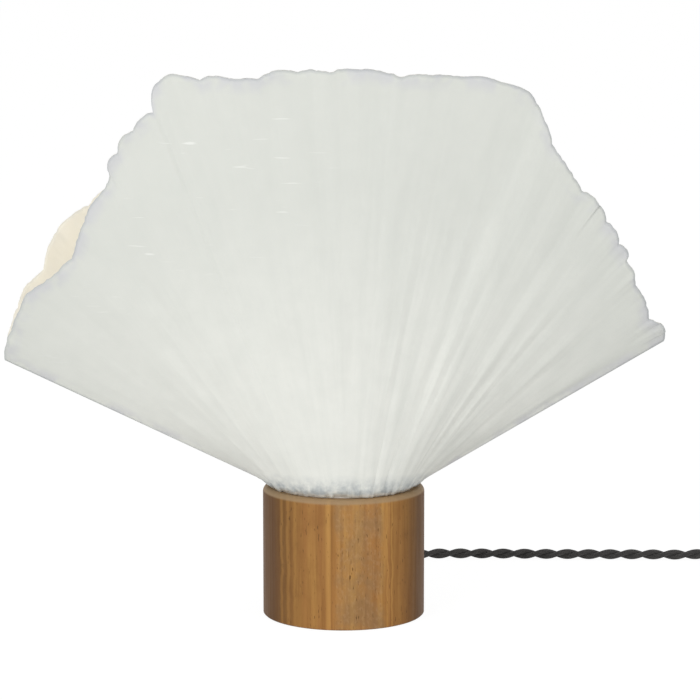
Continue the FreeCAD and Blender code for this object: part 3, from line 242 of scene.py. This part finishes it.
def textileCordMaterial(settings):
    # braided rayon over rubber: matt, nearly black, with fine threads that cross and catch a little light
    material, tree, shader, place = startMaterial("blackTextileBraid")
    own = addNode(tree, "UVMap", uv_map="UVMap").outputs["UV"]
    waves = []
    # a wave is 2 pi / 20 / scale long, and holds two threads' widths
    waveScale = 2 * math.pi / 20 / (2 * settings["threadWidth"] * millimetre)
    for angle in (settings["threadAngle"], -settings["threadAngle"]):
        slant = {"Vector": own, "Rotation": (0, 0, math.radians(angle))}
        turned = addNode(tree, "Mapping", slant).outputs["Vector"]
        wave = addNode(tree, "TexWave", {"Vector": turned, "Scale": waveScale, "Distortion": 0.4})
        waves.append(wave.outputs["Fac"])
    weave = addNode(tree, "Math", {0: waves[0], 1: waves[1]}, operation="MAXIMUM").outputs[0]
    dustScale = 1000 / settings["dust"]
    dust = addNode(tree, "TexNoise", {"Vector": place, "Scale": dustScale, "Detail": 3.0}).outputs["Fac"]
    share = addNode(tree, "Math", {0: weave, 1: dust}, operation="MULTIPLY").outputs[0]
    blend = {0: share, 6: linearColour(settings["black"]), 7: linearColour(settings["thread"])}
    colour = addNode(tree, "Mix", blend, data_type="RGBA").outputs[2]
    bump = addNode(tree, "Bump", {"Height": weave, "Strength": 0.5, "Distance": 0.0003}).outputs["Normal"]
    setInputs(tree, shader, {
        "Base Color": colour, "Roughness": 0.75, "Normal": bump, "Sheen Weight": 0.15, "Sheen Roughness": 0.5,
        "Specular IOR Level": 0.35,
    })
    return material


textileBraid = textileCordMaterial(cordSet)
leadLine = splineLine("leadLine", leadRoute)
restLine = splineLine("restLine", linkRoute + coilPoints(coilSet) + tailRoute)
leadMesh = twistedPair("twistedLead", leadLine, cordSet)
restMesh = twistedPair("twistedRest", restLine, cordSet)
leadPiece = addPiece("twistedLead", leadMesh, [textileBraid])
restPiece = addPiece("twistedRest", restMesh, [textileBraid])
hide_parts("cord_lead")
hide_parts("cord_link", "cord_coil", "cord_tail")
print("cords laid")


# the base, turned from a block glued up of upright boards; sizes and places in mm
baseSet = {
    "radius": 52.5, "top": 85.0, "foot": 0.4, "edgeRound": 4.0, "footBevel": 0.8, "hole": 5.2,
    "sideRings": (3.0, 40.0), "topRing": 40.0,  # rings on the straight side and on the flat top
    "hollows": ((33.0, 67.0), (43.3, 13.0), (46.3, 2.0)),  # radius and roof: round the nut, weight and felt
    "segments": 256, "sharp": 40,  # edges over this many degrees stay sharp
    # the last colour on the next line is the dark brown of the painted shade on the base's sides
    "mid": "#a2713d", "pale": "#b68748", "dark": "#7a5126", "fleck": "#56391d", "sideShadeBrown": "#4c3116",
    "glue": "#c0914f", "endGrain": "#a18a6b", "middleGrey": "#8c7353", "dab": "#c4a077",
    "boards": (-9.6, 29.4), "joint": 0.4,  # where two boards meet, and how soon the tint changes there
    "gluePale": (0.0, 2.4, 0.6), "glueDark": (2.1, 0.8, 0.2),  # from the left joint: place, reach, full
    # the first two pairs set where the base's left and right sides start to darken and where they are
    # darkest: painted shade
    "sideShadeLeft": (-24.0, -45.0), "sideShadeRight": (36.0, 48.0), "endGrainFrom": (81.6, 82.8),  # start, full
    "middleGreyAt": 10.0, "middleGreyReach": (22.0, 14.0),  # the greyer middle, and where its tint starts and is full
    "paleLines": (  # place, half width, share
        (-39.8, 1.2, 0.3), (-35.6, 1.6, 0.3), (-31.4, 1.2, 0.25), (30.8, 0.8, 0.6), (27.8, 0.6, 0.6),
    ),
    "wander": 4.5,  # how far the pale lines wander sideways
    "patterns": {  # size across and along the grain and detail; real growth lines are about half as wide
        "grain": (2.4, 62.0, 4.0), "bands": (6.7, 110.0, 3.0), "cloud": (18.0, 18.0, 4.0),
        "flecks": (0.8, 5.3, 1.0), "dabs": (1.7, 3.2, 2.0), "wander": (100000.0, 26.0, 2.0),
    },
}


def roundedCorner(radius, height, size, steps=9):  # a quarter round from the side up to the top
    angle = np.linspace(0, math.pi / 2, steps)
    return list(zip(radius - size + size * np.cos(angle), height - size + size * np.sin(angle)))


def baseProfile(settings):  # radius and height from the foot up the side, over the top and down the hollows
    radius, top, foot = settings["radius"], settings["top"], settings["foot"]
    profile = [(radius - settings["footBevel"], foot), (radius, foot + settings["footBevel"])]
    profile += [(radius, height) for height in settings["sideRings"]]
    profile += roundedCorner(radius, top, settings["edgeRound"])
    hollows = settings["hollows"]
    profile += [(settings["topRing"], top), (settings["hole"], top), (settings["hole"], hollows[0][1])]
    lowEnds = [roof for _, roof in hollows[1:]] + [foot]
    for (wall, roof), low in zip(hollows, lowEnds):
        profile += [(wall, roof), (wall, low)]
    return profile


def latheSurface(profile, segments):
    # a profile of radius and height turned round Z: (r cos a, r sin a, z)
    radius, height = (np.array(profile) * millimetre).T[:, :, None]
    angle = np.linspace(0, 2 * math.pi, segments, endpoint=False)
    return np.stack(np.broadcast_arrays(radius * np.cos(angle), radius * np.sin(angle), height), -1)


def woodMaterial(settings):
    # beech-like hardwood, turned and oiled: upright grain, thin dark flecks, soft sheen on the side, and
    # painted shade darkening its left and right sides
    material, tree, shader, place = startMaterial("turnedOiledHardwood")
    patterns = {}
    for name, (across, along, detail) in settings["patterns"].items():
        scale = (1000 / across, 1000 / across, 1000 / along)
        stretched = addNode(tree, "Mapping", {"Vector": place, "Scale": scale}).outputs["Vector"]
        noise = {"Vector": stretched, "Scale": 1.0, "Detail": detail, "Roughness": 0.6}
        patterns[name] = addNode(tree, "TexNoise", noise).outputs["Fac"]
    axes = addNode(tree, "SeparateXYZ", {"Vector": place})
    x, height = axes.outputs["X"], axes.outputs["Z"]

    # a greyer band in x near the middle of the base, with pale dabs in it
    start, full = (reach * millimetre for reach in settings["middleGreyReach"])
    fromMiddle = distanceFrom(tree, x, settings["middleGreyAt"] * millimetre)
    reach = {"Value": fromMiddle, "From Min": start, "From Max": full}
    middle = addNode(tree, "MapRange", reach).outputs["Result"]
    middleGrey = addNode(tree, "Math", {0: middle, 1: patterns["cloud"]}, operation="MULTIPLY").outputs[0]
    dabs = addNode(tree, "Math", {0: middle, 1: patterns["dabs"]}, operation="MULTIPLY").outputs[0]
    sideways = {0: patterns["wander"], 1: settings["wander"] * millimetre, 2: x}
    wandering = addNode(tree, "Math", sideways, operation="MULTIPLY_ADD").outputs[0]

    left, right = settings["boards"]
    bands = [  # across the base: what the distance is taken from, where the tint starts and is full, mm
        (x, left, left - settings["joint"], 0.3, "dark"),
        (x, right, right + settings["joint"], 0.42, "dark"),
        # painted shade: the two sides of the turned base darken towards their edges
        (x, *settings["sideShadeLeft"], 0.85, "sideShadeBrown"),
        (x, *settings["sideShadeRight"], 0.8, "sideShadeBrown"),
    ]
    for where, width, most in settings["paleLines"]:
        away = distanceFrom(tree, wandering, (where + settings["wander"] / 2) * millimetre)
        bands.append((away, width, width * 0.3, most, "pale"))
    for key, most, tint in (("gluePale", 0.5, "glue"), ("glueDark", 0.4, "dark")):
        beside, reach, within = settings[key]
        bands.append((distanceFrom(tree, x, (left + beside) * millimetre), reach, within, most, tint))
    low, high = (level * millimetre for level in settings["endGrainFrom"])
    layers = [  # what spreads the tint, where it starts, where it is full, how much, and the tint
        (patterns["bands"], 0.35, 0.65, 1.0, "pale"),
        (patterns["grain"], 0.45, 0.75, 0.55, "dark"),
        (patterns["cloud"], 0.5, 0.8, 0.5, "dark"),
        (middleGrey, 0.35, 0.6, 0.45, "middleGrey"),
        *((value, start * millimetre, full * millimetre, *rest) for value, start, full, *rest in bands),
        (dabs, 0.5, 0.66, 0.16, "dab"),
        (patterns["flecks"], 0.68, 0.74, 0.8, "fleck"),
        (height, low, high, 0.72, "endGrain"),
    ]
    colour = linearColour(settings["mid"])
    for value, start, full, most, tint in layers:
        spread = {"Value": value, "From Min": start, "From Max": full, "To Max": most}
        share = addNode(tree, "MapRange", spread).outputs["Result"]
        blend = {0: share, 6: colour, 7: linearColour(settings[tint])}
        colour = addNode(tree, "Mix", blend, data_type="RGBA").outputs[2]

    gloss = {"Value": patterns["grain"], "From Min": 0.3, "From Max": 0.7, "To Min": 0.46, "To Max": 0.62}
    roughness = addNode(tree, "MapRange", gloss).outputs["Result"]
    pores = {"Height": patterns["grain"], "Strength": 0.18, "Distance": 0.0003}
    bump = addNode(tree, "Bump", pores).outputs["Normal"]
    setInputs(tree, shader, {
        "Base Color": colour, "Roughness": roughness, "Normal": bump, "IOR": 1.5, "Specular IOR Level": 0.18,
    })
    return material


baseSurface = latheSurface(baseProfile(baseSet), baseSet["segments"])
baseMesh = gridMesh("turnedBase", [baseSurface], closedAcross=True, closedAlong=True)
basePiece = addPiece("turnedBase", baseMesh, [woodMaterial(baseSet)])
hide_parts("base_body")
baseMesh.set_sharp_from_angle(angle=math.radians(baseSet["sharp"]))
print("base turned")


# the shade: two pleated paper sheets, torn along the rim and crumpled round the dish; sizes in mm
shadeSet = {
    "neckRadius": 46.9, "neckHeight": 85.3, "centre": (4.6, 58.3), "halfDepth": 90.0, "fullness": 0.85,
    "thickness": 0.7, "columns": 480, "rows": 84,
    "rimLength": 700.0, "neckLength": 147.0,  # of the opened fan
    "lobeFrom": 0.86, "lobeRound": 0.7,  # where the rim's lobes start, as a share, and how round they are
    "tears": ((52, 0.72), (230, 0.36)),  # count along the rim and size
    "pleats": 60, "pleatSharp": 0.94, "pleatDepth": 1.1,
    "waves": 24, "breaks": (22, 3.2), "dents": (36, 9, 0.35),  # counts across and up, and size
    "ridges": (20, 1.4, 28), "curl": (60, 0.8, 6),  # count across, size, and how far it reaches from its edge
    "crumple": (36, 3.4), "fineCrumple": (80, 1.7), "crumpleSize": 1.05, "crumpleReach": 9,
    # the second colour on the next line is both the paper's greyer tone and the painted shade towards the rim
    # the third and fourth colours on the next line are painted warm light on the paper's inside
    "outer": "#e6e7e1", "coolToneAndShade": "#cdd0ca", "warmLitInside": "#fffaec", "warmLitInsideTone": "#f6eed8",
    "torn": "#eeebe2", "tornShade": "#d9d4c8",
    # the first colour on the next line is the painted shade of the curled rim and of the crumples at the
    # neck; the second is the painted shade in the rim's lobes
    "creaseShadeGrey": "#a2a9ad", "lilacRimShade": "#c9c9d0", "white": "#f7f8f5",
    "patterns": {  # what it follows, sizes and detail; fibres are drawn ten times as wide as they are
        "streaks": ("sheet", (17.0, 110.0, 1000.0), 3.0), "mottle": ("place", (14.0, 14.0, 14.0), 5.0),
        "fibre": ("place", (1.1, 1.1, 1.1), 3.0), "speckle": ("place", (6.5, 6.5, 6.5), 3.0),
        "creases": ("place", (26.0, 26.0, 3.0), 1.0), "patches": ("place", (17.0, 17.0, 17.0), 2.0),
    },
}
frontRim = [  # angle and distance from the centre, and how far the lobe up to the next point stands out, mm
    (154.1, 248.5, 1.5), (149, 253, 1.2), (145.5, 256, 1.0), (142.5, 257, 0.0), (137, 252.4, 0.0),
    (134, 250.5, 1.0), (129, 263, 0.8), (125.6, 271, -2.0), (122.3, 279, 3.6), (119.9, 287, 3.2),
    (117, 294, 2.4), (113.8, 300, 0.4), (113.2, 309, 1.0), (112.1, 314.5, 1.4), (110.1, 316.5, 1.2),
    (107.4, 307.5, 2.8), (103.5, 303, 0.4), (100.8, 300, 3.6), (96.2, 301, 1.0), (92.4, 300, 1.5),
    (84, 298.5, 1.2), (76.5, 304, 1.0), (71.5, 308, 2.0), (68, 302, 1.5), (64, 282, 0.6), (57.3, 266.6, 3.2),
    (51.9, 258.5, 2.2), (48.4, 252.3, 3.2), (45.9, 248.8, 1.8), (41.8, 242.5, 0.9), (37.9, 238.2, 0.4),
    (35.6, 234.7, 4.6), (30.9, 235.5, 0.0),
]
backRim = [
    (154.1, 248.5, 1.0), (146, 260, 1.5), (141, 259.5, 1.2), (136.5, 268, 1.2), (133, 269.5, 1.0),
    (130.5, 266.5, 1.0), (125, 267.5, 1.5), (117, 288, 2.0), (111, 297, 2.5), (104, 290, 1.5),
    (92.4, 287.5, 1.5), (84, 286, 2.0), (73, 295.5, 1.5), (68, 292, 1.5), (63, 278, 1.2), (56, 262, 2.0),
    (45, 240, 1.0), (37, 231, 0.0), (30.9, 235.5, 0.0),
]


def smoothStep(value, low, high):  # 0 up to low, 1 from high on, and part^2 * (3 - 2 part) between them
    part = np.clip((value - low) / (high - low), 0, 1)
    return part * part * (3 - 2 * part)


def softNoise(where, seed, octaves=1):  # smooth random values along a line, each octave within -1 to 1
    total = np.zeros_like(where, dtype=float)
    for octave in range(octaves):
        values = np.random.default_rng(seed + octave).uniform(-1, 1, 4096)
        scaled = where * 2 ** octave
        low = np.floor(scaled).astype(int)
        part = smoothStep(scaled - low, 0, 1)
        total += (values[low % 4096] * (1 - part) + values[(low + 1) % 4096] * part) / 2 ** octave
    return total


def softNoise2(u, v, seed):  # the same over a surface, in one octave
    values = np.random.default_rng(seed).uniform(-1, 1, (256, 256))
    lu, lv = np.floor(u).astype(int), np.floor(v).astype(int)
    pu, pv = smoothStep(u - lu, 0, 1), smoothStep(v - lv, 0, 1)
    low = values[lu % 256, lv % 256] * (1 - pu) + values[(lu + 1) % 256, lv % 256] * pu
    high = values[lu % 256, (lv + 1) % 256] * (1 - pu) + values[(lu + 1) % 256, (lv + 1) % 256] * pu
    return low * (1 - pv) + high * pv


def rimCurve(rim, side, settings, seed, t, ends):
    # the rim goes round the centre from point to point and bows out in depth as sin(pi t) ** fullness, and a
    # lobe stands bulge * sin(pi s) ** lobeRound off its chord, where s is the share of the chord
    points = np.array(rim)
    angle = points[0, 0] + (points[-1, 0] - points[0, 0]) * t
    far = np.interp(-angle, -points[:, 0], points[:, 1])
    part = np.clip(np.searchsorted(-points[:, 0], -angle, side="right") - 1, 0, len(points) - 2)
    within = (points[part, 0] - angle) / (points[part, 0] - points[part + 1, 0])
    bulge = points[part, 2] * np.clip(np.sin(math.pi * within), 0, 1) ** settings["lobeRound"]
    (tears, tearSize), (fineTears, fineTearSize) = settings["tears"]
    torn = softNoise(t * tears, seed, 2) * tearSize + softNoise(t * fineTears, seed + 9, 2) * fineTearSize
    far = far + ends * torn
    turn = np.radians(angle)
    x = settings["centre"][0] + far * np.cos(turn)
    z = settings["centre"][1] + far * np.sin(turn)
    line = np.stack([x, side * settings["halfDepth"] * np.sin(math.pi * t) ** settings["fullness"], z], -1)
    step = unit(np.stack([np.gradient(x), np.gradient(z)], -1))
    lobe = np.stack([-bulge * step[:, 1], np.zeros_like(bulge), bulge * step[:, 0]], -1)
    rightShare = smoothStep(-angle, -100, -62)  # 1 on the right, where the folds are deep
    return line, lobe, bulge, rightShare


def foldDepth(settings, seed, t, v, away, toRim, ends, bulge, rightShare):
    # how far each point is pushed out, mm: pleats as a rounded zigzag that grow from the neck and fade to the
    # rim, soft radial waves and dents, ridges and crumpling at the neck, and a curl along the rim
    across, up = np.meshgrid(t, v)
    fold = settings["pleats"] * t + 0.35 * softNoise(t * 30, seed + 11)
    pleat = np.arcsin(settings["pleatSharp"] * np.sin(fold * math.pi)) / 1.2
    strength = (0.55 + 0.45 * softNoise(t * 17, seed + 13)) * (0.12 + 0.5 * rightShare)
    grows = 0.12 + 0.95 * smoothStep(v, 0.05, 0.4) - 0.85 * smoothStep(v, 0.55, 0.92)
    breaksAcross, breaksUp = settings["breaks"]
    broken = 0.3 + 0.9 * np.abs(softNoise2(across * breaksAcross, up * breaksUp, seed + 41))
    push = pleat * strength * grows[:, None] * broken * settings["pleatDepth"]

    wave = softNoise(t * settings["waves"], seed + 17, 2) * (0.26 + 0.5 * rightShare)
    waveGrows = smoothStep(v, 0.03, 0.16) * (1 - 0.6 * smoothStep(v, 0.55, 0.9))
    push = push + wave * waveGrows[:, None] * broken
    dentsAcross, dentsUp, dentSize = settings["dents"]
    push = push + softNoise2(across * dentsAcross, up * dentsUp, seed + 19) * dentSize

    ridges, ridgeSize, ridgeReach = settings["ridges"]
    nearMiddle = smoothStep(t, 0.36, 0.44) * (1 - smoothStep(t, 0.74, 0.84))
    ridge = np.abs(softNoise(t * ridges, seed + 23)) ** 0.8 * nearMiddle
    push = push + ridge * ridgeSize * np.exp(-away / ridgeReach) * smoothStep(away, 0, 5)
    count, size = settings["crumple"]
    crumple = softNoise2(across * count, away / size, seed + 29)
    count, size = settings["fineCrumple"]
    crumple = crumple + 0.5 * softNoise2(across * count, away / size, seed + 31)
    push = push + settings["crumpleSize"] * np.abs(crumple) * np.exp(-(away / settings["crumpleReach"]) ** 2)

    curls, curlSize, curlReach = settings["curl"]
    curl = np.clip(bulge, 0, 3.5) * 0.45 + curlSize * softNoise(t * curls, seed + 37)
    push = push + curl * np.exp(-toRim / curlReach) * ends
    return push * ends


def paperSheet(name, rim, side, settings, seed):
    # straight from the neck's half ring to the rim, neck + (rim - neck) * v, then pushed out by foldDepth
    t = np.linspace(0, 1, settings["columns"] + 1)
    v = np.linspace(0, 1, settings["rows"] + 1) ** 0.9
    ends = smoothStep(t, 0, 0.02) * smoothStep(1 - t, 0, 0.02)
    rimLine, lobe, bulge, rightShare = rimCurve(rim, side, settings, seed, t, ends)
    outwards = np.stack([-np.cos(math.pi * t), side * np.sin(math.pi * t), np.zeros_like(t)], -1)
    neckLine = outwards * settings["neckRadius"]
    neckLine[:, 2] = settings["neckHeight"] + 0.6 * (1 + softNoise(t * 30, seed + 5, 2)) * ends
    surface = neckLine + (rimLine - neckLine) * v[:, None, None]
    surface = surface + lobe * smoothStep(v, settings["lobeFrom"], 1.0)[:, None, None]
    length = np.linalg.norm(rimLine - neckLine, axis=1)
    away = v[:, None] * length  # mm from the neck
    toRim = (1 - v[:, None]) * length

    facing = unit(np.cross(np.gradient(surface, axis=1), np.gradient(surface, axis=0)))
    outward = np.sign(np.sum(facing * outwards, -1).mean())
    push = foldDepth(settings, seed, t, v, away, toRim, ends, bulge, rightShare)
    surface = surface + facing * outward * push[..., None]

    acrossFan = np.broadcast_to(t * settings["rimLength"], away.shape)
    mapping = np.stack([acrossFan, away], -1) * millimetre
    fanWidth = settings["neckLength"] + (settings["rimLength"] - settings["neckLength"]) * v[:, None]
    toEdge = np.minimum(toRim, np.minimum(t, 1 - t) * fanWidth)
    order = slice(None, None, int(outward))  # so that the faces look outwards
    mesh = gridMesh(name, [surface[:, order] * millimetre], mappings=[mapping[:, order]])
    for key, values in (("toEdge", toEdge), ("fromNeck", away)):
        attribute = mesh.attributes.new(key, "FLOAT", "POINT")
        attribute.data.foreach_set("value", values[:, order].astype(np.float32).ravel())
    return mesh


def paperMaterial(name, settings, base, shade, rimShadeShare, edgeShadeShare):
    # heavy hand-made paper, pleated wet: matt, faintly mottled, with greyer radial streaks, most on the
    # right, and painted shade greying it towards the rim, along its curled edges and in the crumples at the
    # neck
    material, tree, shader, place = startMaterial(name)
    own = addNode(tree, "UVMap", uv_map="UVMap").outputs["UV"]
    patterns = {}
    for key, (source, sizes, detail) in settings["patterns"].items():
        follows = own if source == "sheet" else place
        scale = tuple(1000 / size for size in sizes)
        scaled = addNode(tree, "Mapping", {"Vector": follows, "Scale": scale}).outputs["Vector"]
        noise = {"Vector": scaled, "Scale": 1.0, "Detail": detail, "Roughness": 0.58}
        patterns[key] = addNode(tree, "TexNoise", noise).outputs["Fac"]
    alongFan = addNode(tree, "SeparateXYZ", {"Vector": own}).outputs["X"]  # metres, up to 0.7
    toEdge = addNode(tree, "Attribute", attribute_name="toEdge").outputs["Fac"]  # mm, as is fromNeck
    fromNeck = addNode(tree, "Attribute", attribute_name="fromNeck").outputs["Fac"]
    streaks = (patterns["streaks"], 0.45, 0.68)
    upperLeft = [(alongFan, 0.36, 0.30), (fromNeck, 150.0, 190.0), (toEdge, 16.0, 26.0)]
    layers = [  # what spreads the tint, each with where it starts and is full, then how much, and the tint
        ([streaks], 0.1, shade),
        ([streaks, (alongFan, 0.24, 0.42)], 0.2, shade),
        ([(patterns["mottle"], 0.35, 0.75)], 0.22, shade),
        # painted shade: the paper greys from the neck towards the rim, so the top of the shade renders darker
        ([(fromNeck, 70.0, 200.0)], rimShadeShare, shade),
        # painted shade: a lilac grey inside the rim's curled lobes
        ([(toEdge, 11.0, 3.0), (patterns["patches"], 0.42, 0.58)], rimShadeShare, "lilacRimShade"),
        # painted shade: a thin grey line along the curled rim
        ([(toEdge, 2.4, 0.6)], edgeShadeShare, "creaseShadeGrey"),
        ([(patterns["creases"], 0.68, 0.74), *upperLeft], 0.5, "white"),
        # painted shade in the crumpled creases just above the neck
        ([(patterns["speckle"], 0.3, 0.62), (fromNeck, 15.0, 5.0)], 0.8, "creaseShadeGrey"),
        ([(fromNeck, 2.4, 1.0)], 0.7, "torn"),
    ]
    colour = linearColour(settings[base])
    for factors, share, tint in layers:
        for value, start, full in factors:
            spread = {"Value": value, "From Min": start, "From Max": full}
            part = addNode(tree, "MapRange", spread).outputs["Result"]
            share = addNode(tree, "Math", {0: part, 1: share}, operation="MULTIPLY").outputs[0]
        blend = {0: share, 6: colour, 7: linearColour(settings[tint])}
        colour = addNode(tree, "Mix", blend, data_type="RGBA").outputs[2]
    relief = {0: patterns["fibre"], 1: 0.25, 2: patterns["streaks"]}
    height = addNode(tree, "Math", relief, operation="MULTIPLY_ADD").outputs[0]
    bump = addNode(tree, "Bump", {"Height": height, "Strength": 0.12, "Distance": 0.0005}).outputs["Normal"]
    setInputs(tree, shader, {
        "Base Color": colour, "Roughness": 0.82, "Normal": bump,
        "Specular IOR Level": 0.25, "Sheen Weight": 0.05,
    })
    return material


outerPaper = paperMaterial("pleatedHandmadePaper", shadeSet, "outer", "coolToneAndShade", 0.56, 0.3)
# painted light: the inside is the same paper, given a brighter, warmer cream to stand for the warm light
# inside the shade
warmLitInsidePaper = paperMaterial("pleatedPaperInsidePaintedWarmLight", shadeSet, "warmLitInside", "warmLitInsideTone", 0.1, 0.1)
tornPaper = paperMaterial("tornPaperEdge", shadeSet, "torn", "tornShade", 0.1, 0.1)
sheets = (("paperFront", frontRim, -1, 11, "shade_front"), ("paperBack", backRim, 1, 47, "shade_back"))
for name, rim, side, seed, replaced in sheets:
    mesh = paperSheet(name, rim, side, shadeSet, seed)
    sheet = addPiece(name, mesh, [outerPaper, warmLitInsidePaper, tornPaper])
    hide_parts(replaced)
    wall = sheet.modifiers.new("paperThickness", "SOLIDIFY")
    wall.thickness = shadeSet["thickness"] * millimetre
    wall.offset = -1.0
    wall.material_offset = 1
    wall.material_offset_rim = 2
print("shade folded")


# finishes of the pieces that keep their own shape; the grain is in mm
finishSet = {
    "black_felt": {"name": "pressedWoolFelt", "base": "#26262a", "second": "#3b3b40",
                   "rough": 0.95, "grain": 0.7, "bump": 0.5, "sheen": 0.4},
    "zinc_steel": {"name": "zincPlatedSteel", "base": "#b9bcc0", "second": "#989ca2",
                   "rough": 0.34, "metal": 1.0, "grain": 1.6, "bump": 0.08},
    "white_steel": {"name": "whitePowderCoatedSteel", "base": "#e6e5e0", "second": "#d9d8d2",
                    "rough": 0.45, "grain": 0.5, "bump": 0.15},
    "black_plastic": {"name": "mouldedBlackPhenolic", "base": "#1d1d1f", "second": "#2a2a2d",
                      "rough": 0.32, "grain": 0.8, "bump": 0.06},
    "contact_brass": {"name": "rolledBrass", "base": "#c9a860", "second": "#b08e48",
                      "rough": 0.3, "metal": 1.0, "grain": 1.2, "bump": 0.08},
    "cap_aluminium": {"name": "pressedAluminium", "base": "#cfd1d3", "second": "#b5b8bb",
                      "rough": 0.3, "metal": 1.0, "grain": 1.0, "bump": 0.1},
    "opal_glass": {"name": "opalGlass", "base": "#f4f2ec", "second": "#e9e6de",
                   "rough": 0.18, "grain": 6.0, "bump": 0.02, "coat": 0.5},
    "black_glass": {"name": "fusedBlackGlass", "base": "#141416", "second": "#232326",
                    "rough": 0.12, "grain": 2.0, "bump": 0.05, "coat": 0.4},
    "soft_plastic": {"name": "softBlackPvc", "base": "#222224", "second": "#303033",
                     "rough": 0.5, "grain": 0.6, "bump": 0.12},
    "textile_cord": {"name": "wovenTapeStrap", "base": "#222122", "second": "#3c3a3a",
                     "rough": 0.85, "grain": 0.9, "bump": 0.5, "sheen": 0.2},
    "pin_nickel": {"name": "nickelPlatedBrass", "base": "#c8c6c0", "second": "#adaaa3",
                   "rough": 0.25, "metal": 1.0, "grain": 1.5, "bump": 0.05},
}
cloudSize = 50 / 3  # mm between the cloudy patches that every finish has


def finishMaterial(settings):  # one finish: two close colours, a fine surface grain and its gloss
    material, tree, shader, place = startMaterial(settings["name"])
    fine = {"Vector": place, "Scale": 1000 / settings["grain"] / 2, "Detail": 4.0, "Roughness": 0.6}
    grain = addNode(tree, "TexNoise", fine).outputs["Fac"]
    soft = {"Vector": place, "Scale": 1000 / cloudSize, "Detail": 3.0}
    cloud = addNode(tree, "TexNoise", soft).outputs["Fac"]
    both = addNode(tree, "Math", {0: grain, 1: cloud}, operation="MULTIPLY").outputs[0]
    share = addNode(tree, "MapRange", {"Value": both, "From Min": 0.12, "From Max": 0.42}).outputs["Result"]
    blend = {0: share, 6: linearColour(settings["base"]), 7: linearColour(settings["second"])}
    colour = addNode(tree, "Mix", blend, data_type="RGBA").outputs[2]
    gloss = {"Value": cloud, "From Min": 0.3, "From Max": 0.7,
             "To Min": settings["rough"] * 0.85, "To Max": min(1.0, settings["rough"] * 1.2)}
    rough = addNode(tree, "MapRange", gloss).outputs["Result"]
    relief = {"Height": grain, "Strength": settings["bump"], "Distance": 0.0004}
    bump = addNode(tree, "Bump", relief).outputs["Normal"]
    setInputs(tree, shader, {
        "Base Color": colour, "Roughness": rough, "Normal": bump, "Metallic": settings.get("metal", 0.0),
        "Coat Weight": settings.get("coat", 0.0), "Sheen Weight": settings.get("sheen", 0.0),
    })
    return material


finishes = {slotName: finishMaterial(settings) for slotName, settings in finishSet.items()}
slotOf = {part["node"]: part["material_slot"] for part in frame["record"]["subparts"]}
replacedNodes = {"base_body", "shade_front", "shade_back", "cord_lead", "cord_link", "cord_coil", "cord_tail"}
for name, node in nodes.items():
    if name in replacedNodes:
        continue
    node.data.materials.clear()
    node.data.materials.append(finishes[slotOf[name]])
print("finishes set")


# the floor, the lamps and the background
studioSet = {
    "floor": "#f6f6f5", "floorFrom": (-6.0, -4.0), "floorTo": (6.0, 14.0),
    "glow": 1.08, "glowShare": 0.87, "ambient": 0.5,
    "lamps": {"keyLight": ((-1.6, -2.1, 0.95), 34.0), "fillLight": ((2.0, -1.7, 0.9), 17.0)},  # place, power
    "lampSize": 1.6, "aim": (0.0, 0.0, 0.2),
}


def backgroundRay(tree):  # 1 for a ray that should meet the plain white background, 0 for one that lights
    path = addNode(tree, "LightPath").outputs
    seen = path["Is Camera Ray"]
    for kind in ("Is Glossy Ray", "Is Transmission Ray"):
        seen = addNode(tree, "Math", {0: seen, 1: path[kind]}, operation="MAXIMUM").outputs[0]
    return seen


def floorMaterial(settings):  # matt white paper sweep that shows white to the camera and keeps a faint shadow
    material = bpy.data.materials.new("whitePaperSweep")
    tree = emptyTree(material)
    matt = addNode(tree, "BsdfDiffuse", {"Color": linearColour(settings["floor"])})
    glow = addNode(tree, "Emission", {"Color": (1, 1, 1, 1), "Strength": settings["glow"]})
    glowing = {0: backgroundRay(tree), 1: settings["glowShare"]}
    share = addNode(tree, "Math", glowing, operation="MULTIPLY").outputs[0]
    blend = addNode(tree, "MixShader", {0: share, 1: matt.outputs[0], 2: glow.outputs[0]})
    addNode(tree, "OutputMaterial", {"Surface": blend.outputs[0]})
    return material


def addLight(name, place, aim, size, power):  # a square lamp that faces its aim
    data = bpy.data.lights.new(name, "AREA")
    data.size = size
    data.energy = power
    light = bpy.data.objects.new(name, data)
    light.location = place
    light.rotation_euler = (Vector(aim) - Vector(place)).to_track_quat("-Z", "Y").to_euler()
    bpy.context.collection.objects.link(light)


(left, near), (right, far) = studioSet["floorFrom"], studioSet["floorTo"]
floorCorners = np.array([[(left, near, 0.0), (right, near, 0.0)], [(left, far, 0.0), (right, far, 0.0)]])
floorMesh = gridMesh("floor", [floorCorners])
floorMesh.materials.append(floorMaterial(studioSet))
floor = bpy.data.objects.new("floor", floorMesh)
bpy.context.collection.objects.link(floor)
for name, (place, power) in studioSet["lamps"].items():
    addLight(name, place, studioSet["aim"], studioSet["lampSize"], power)

world = bpy.data.worlds.new("studio")
bpy.context.scene.world = world
tree = emptyTree(world)
brightness = {"Value": backgroundRay(tree), "To Min": studioSet["ambient"], "To Max": 1.0}
strength = addNode(tree, "MapRange", brightness).outputs["Result"]
sky = addNode(tree, "Background", {"Color": (1, 1, 1, 1), "Strength": strength})
addNode(tree, "OutputWorld", {"Surface": sky.outputs[0]})
print("studio lit")
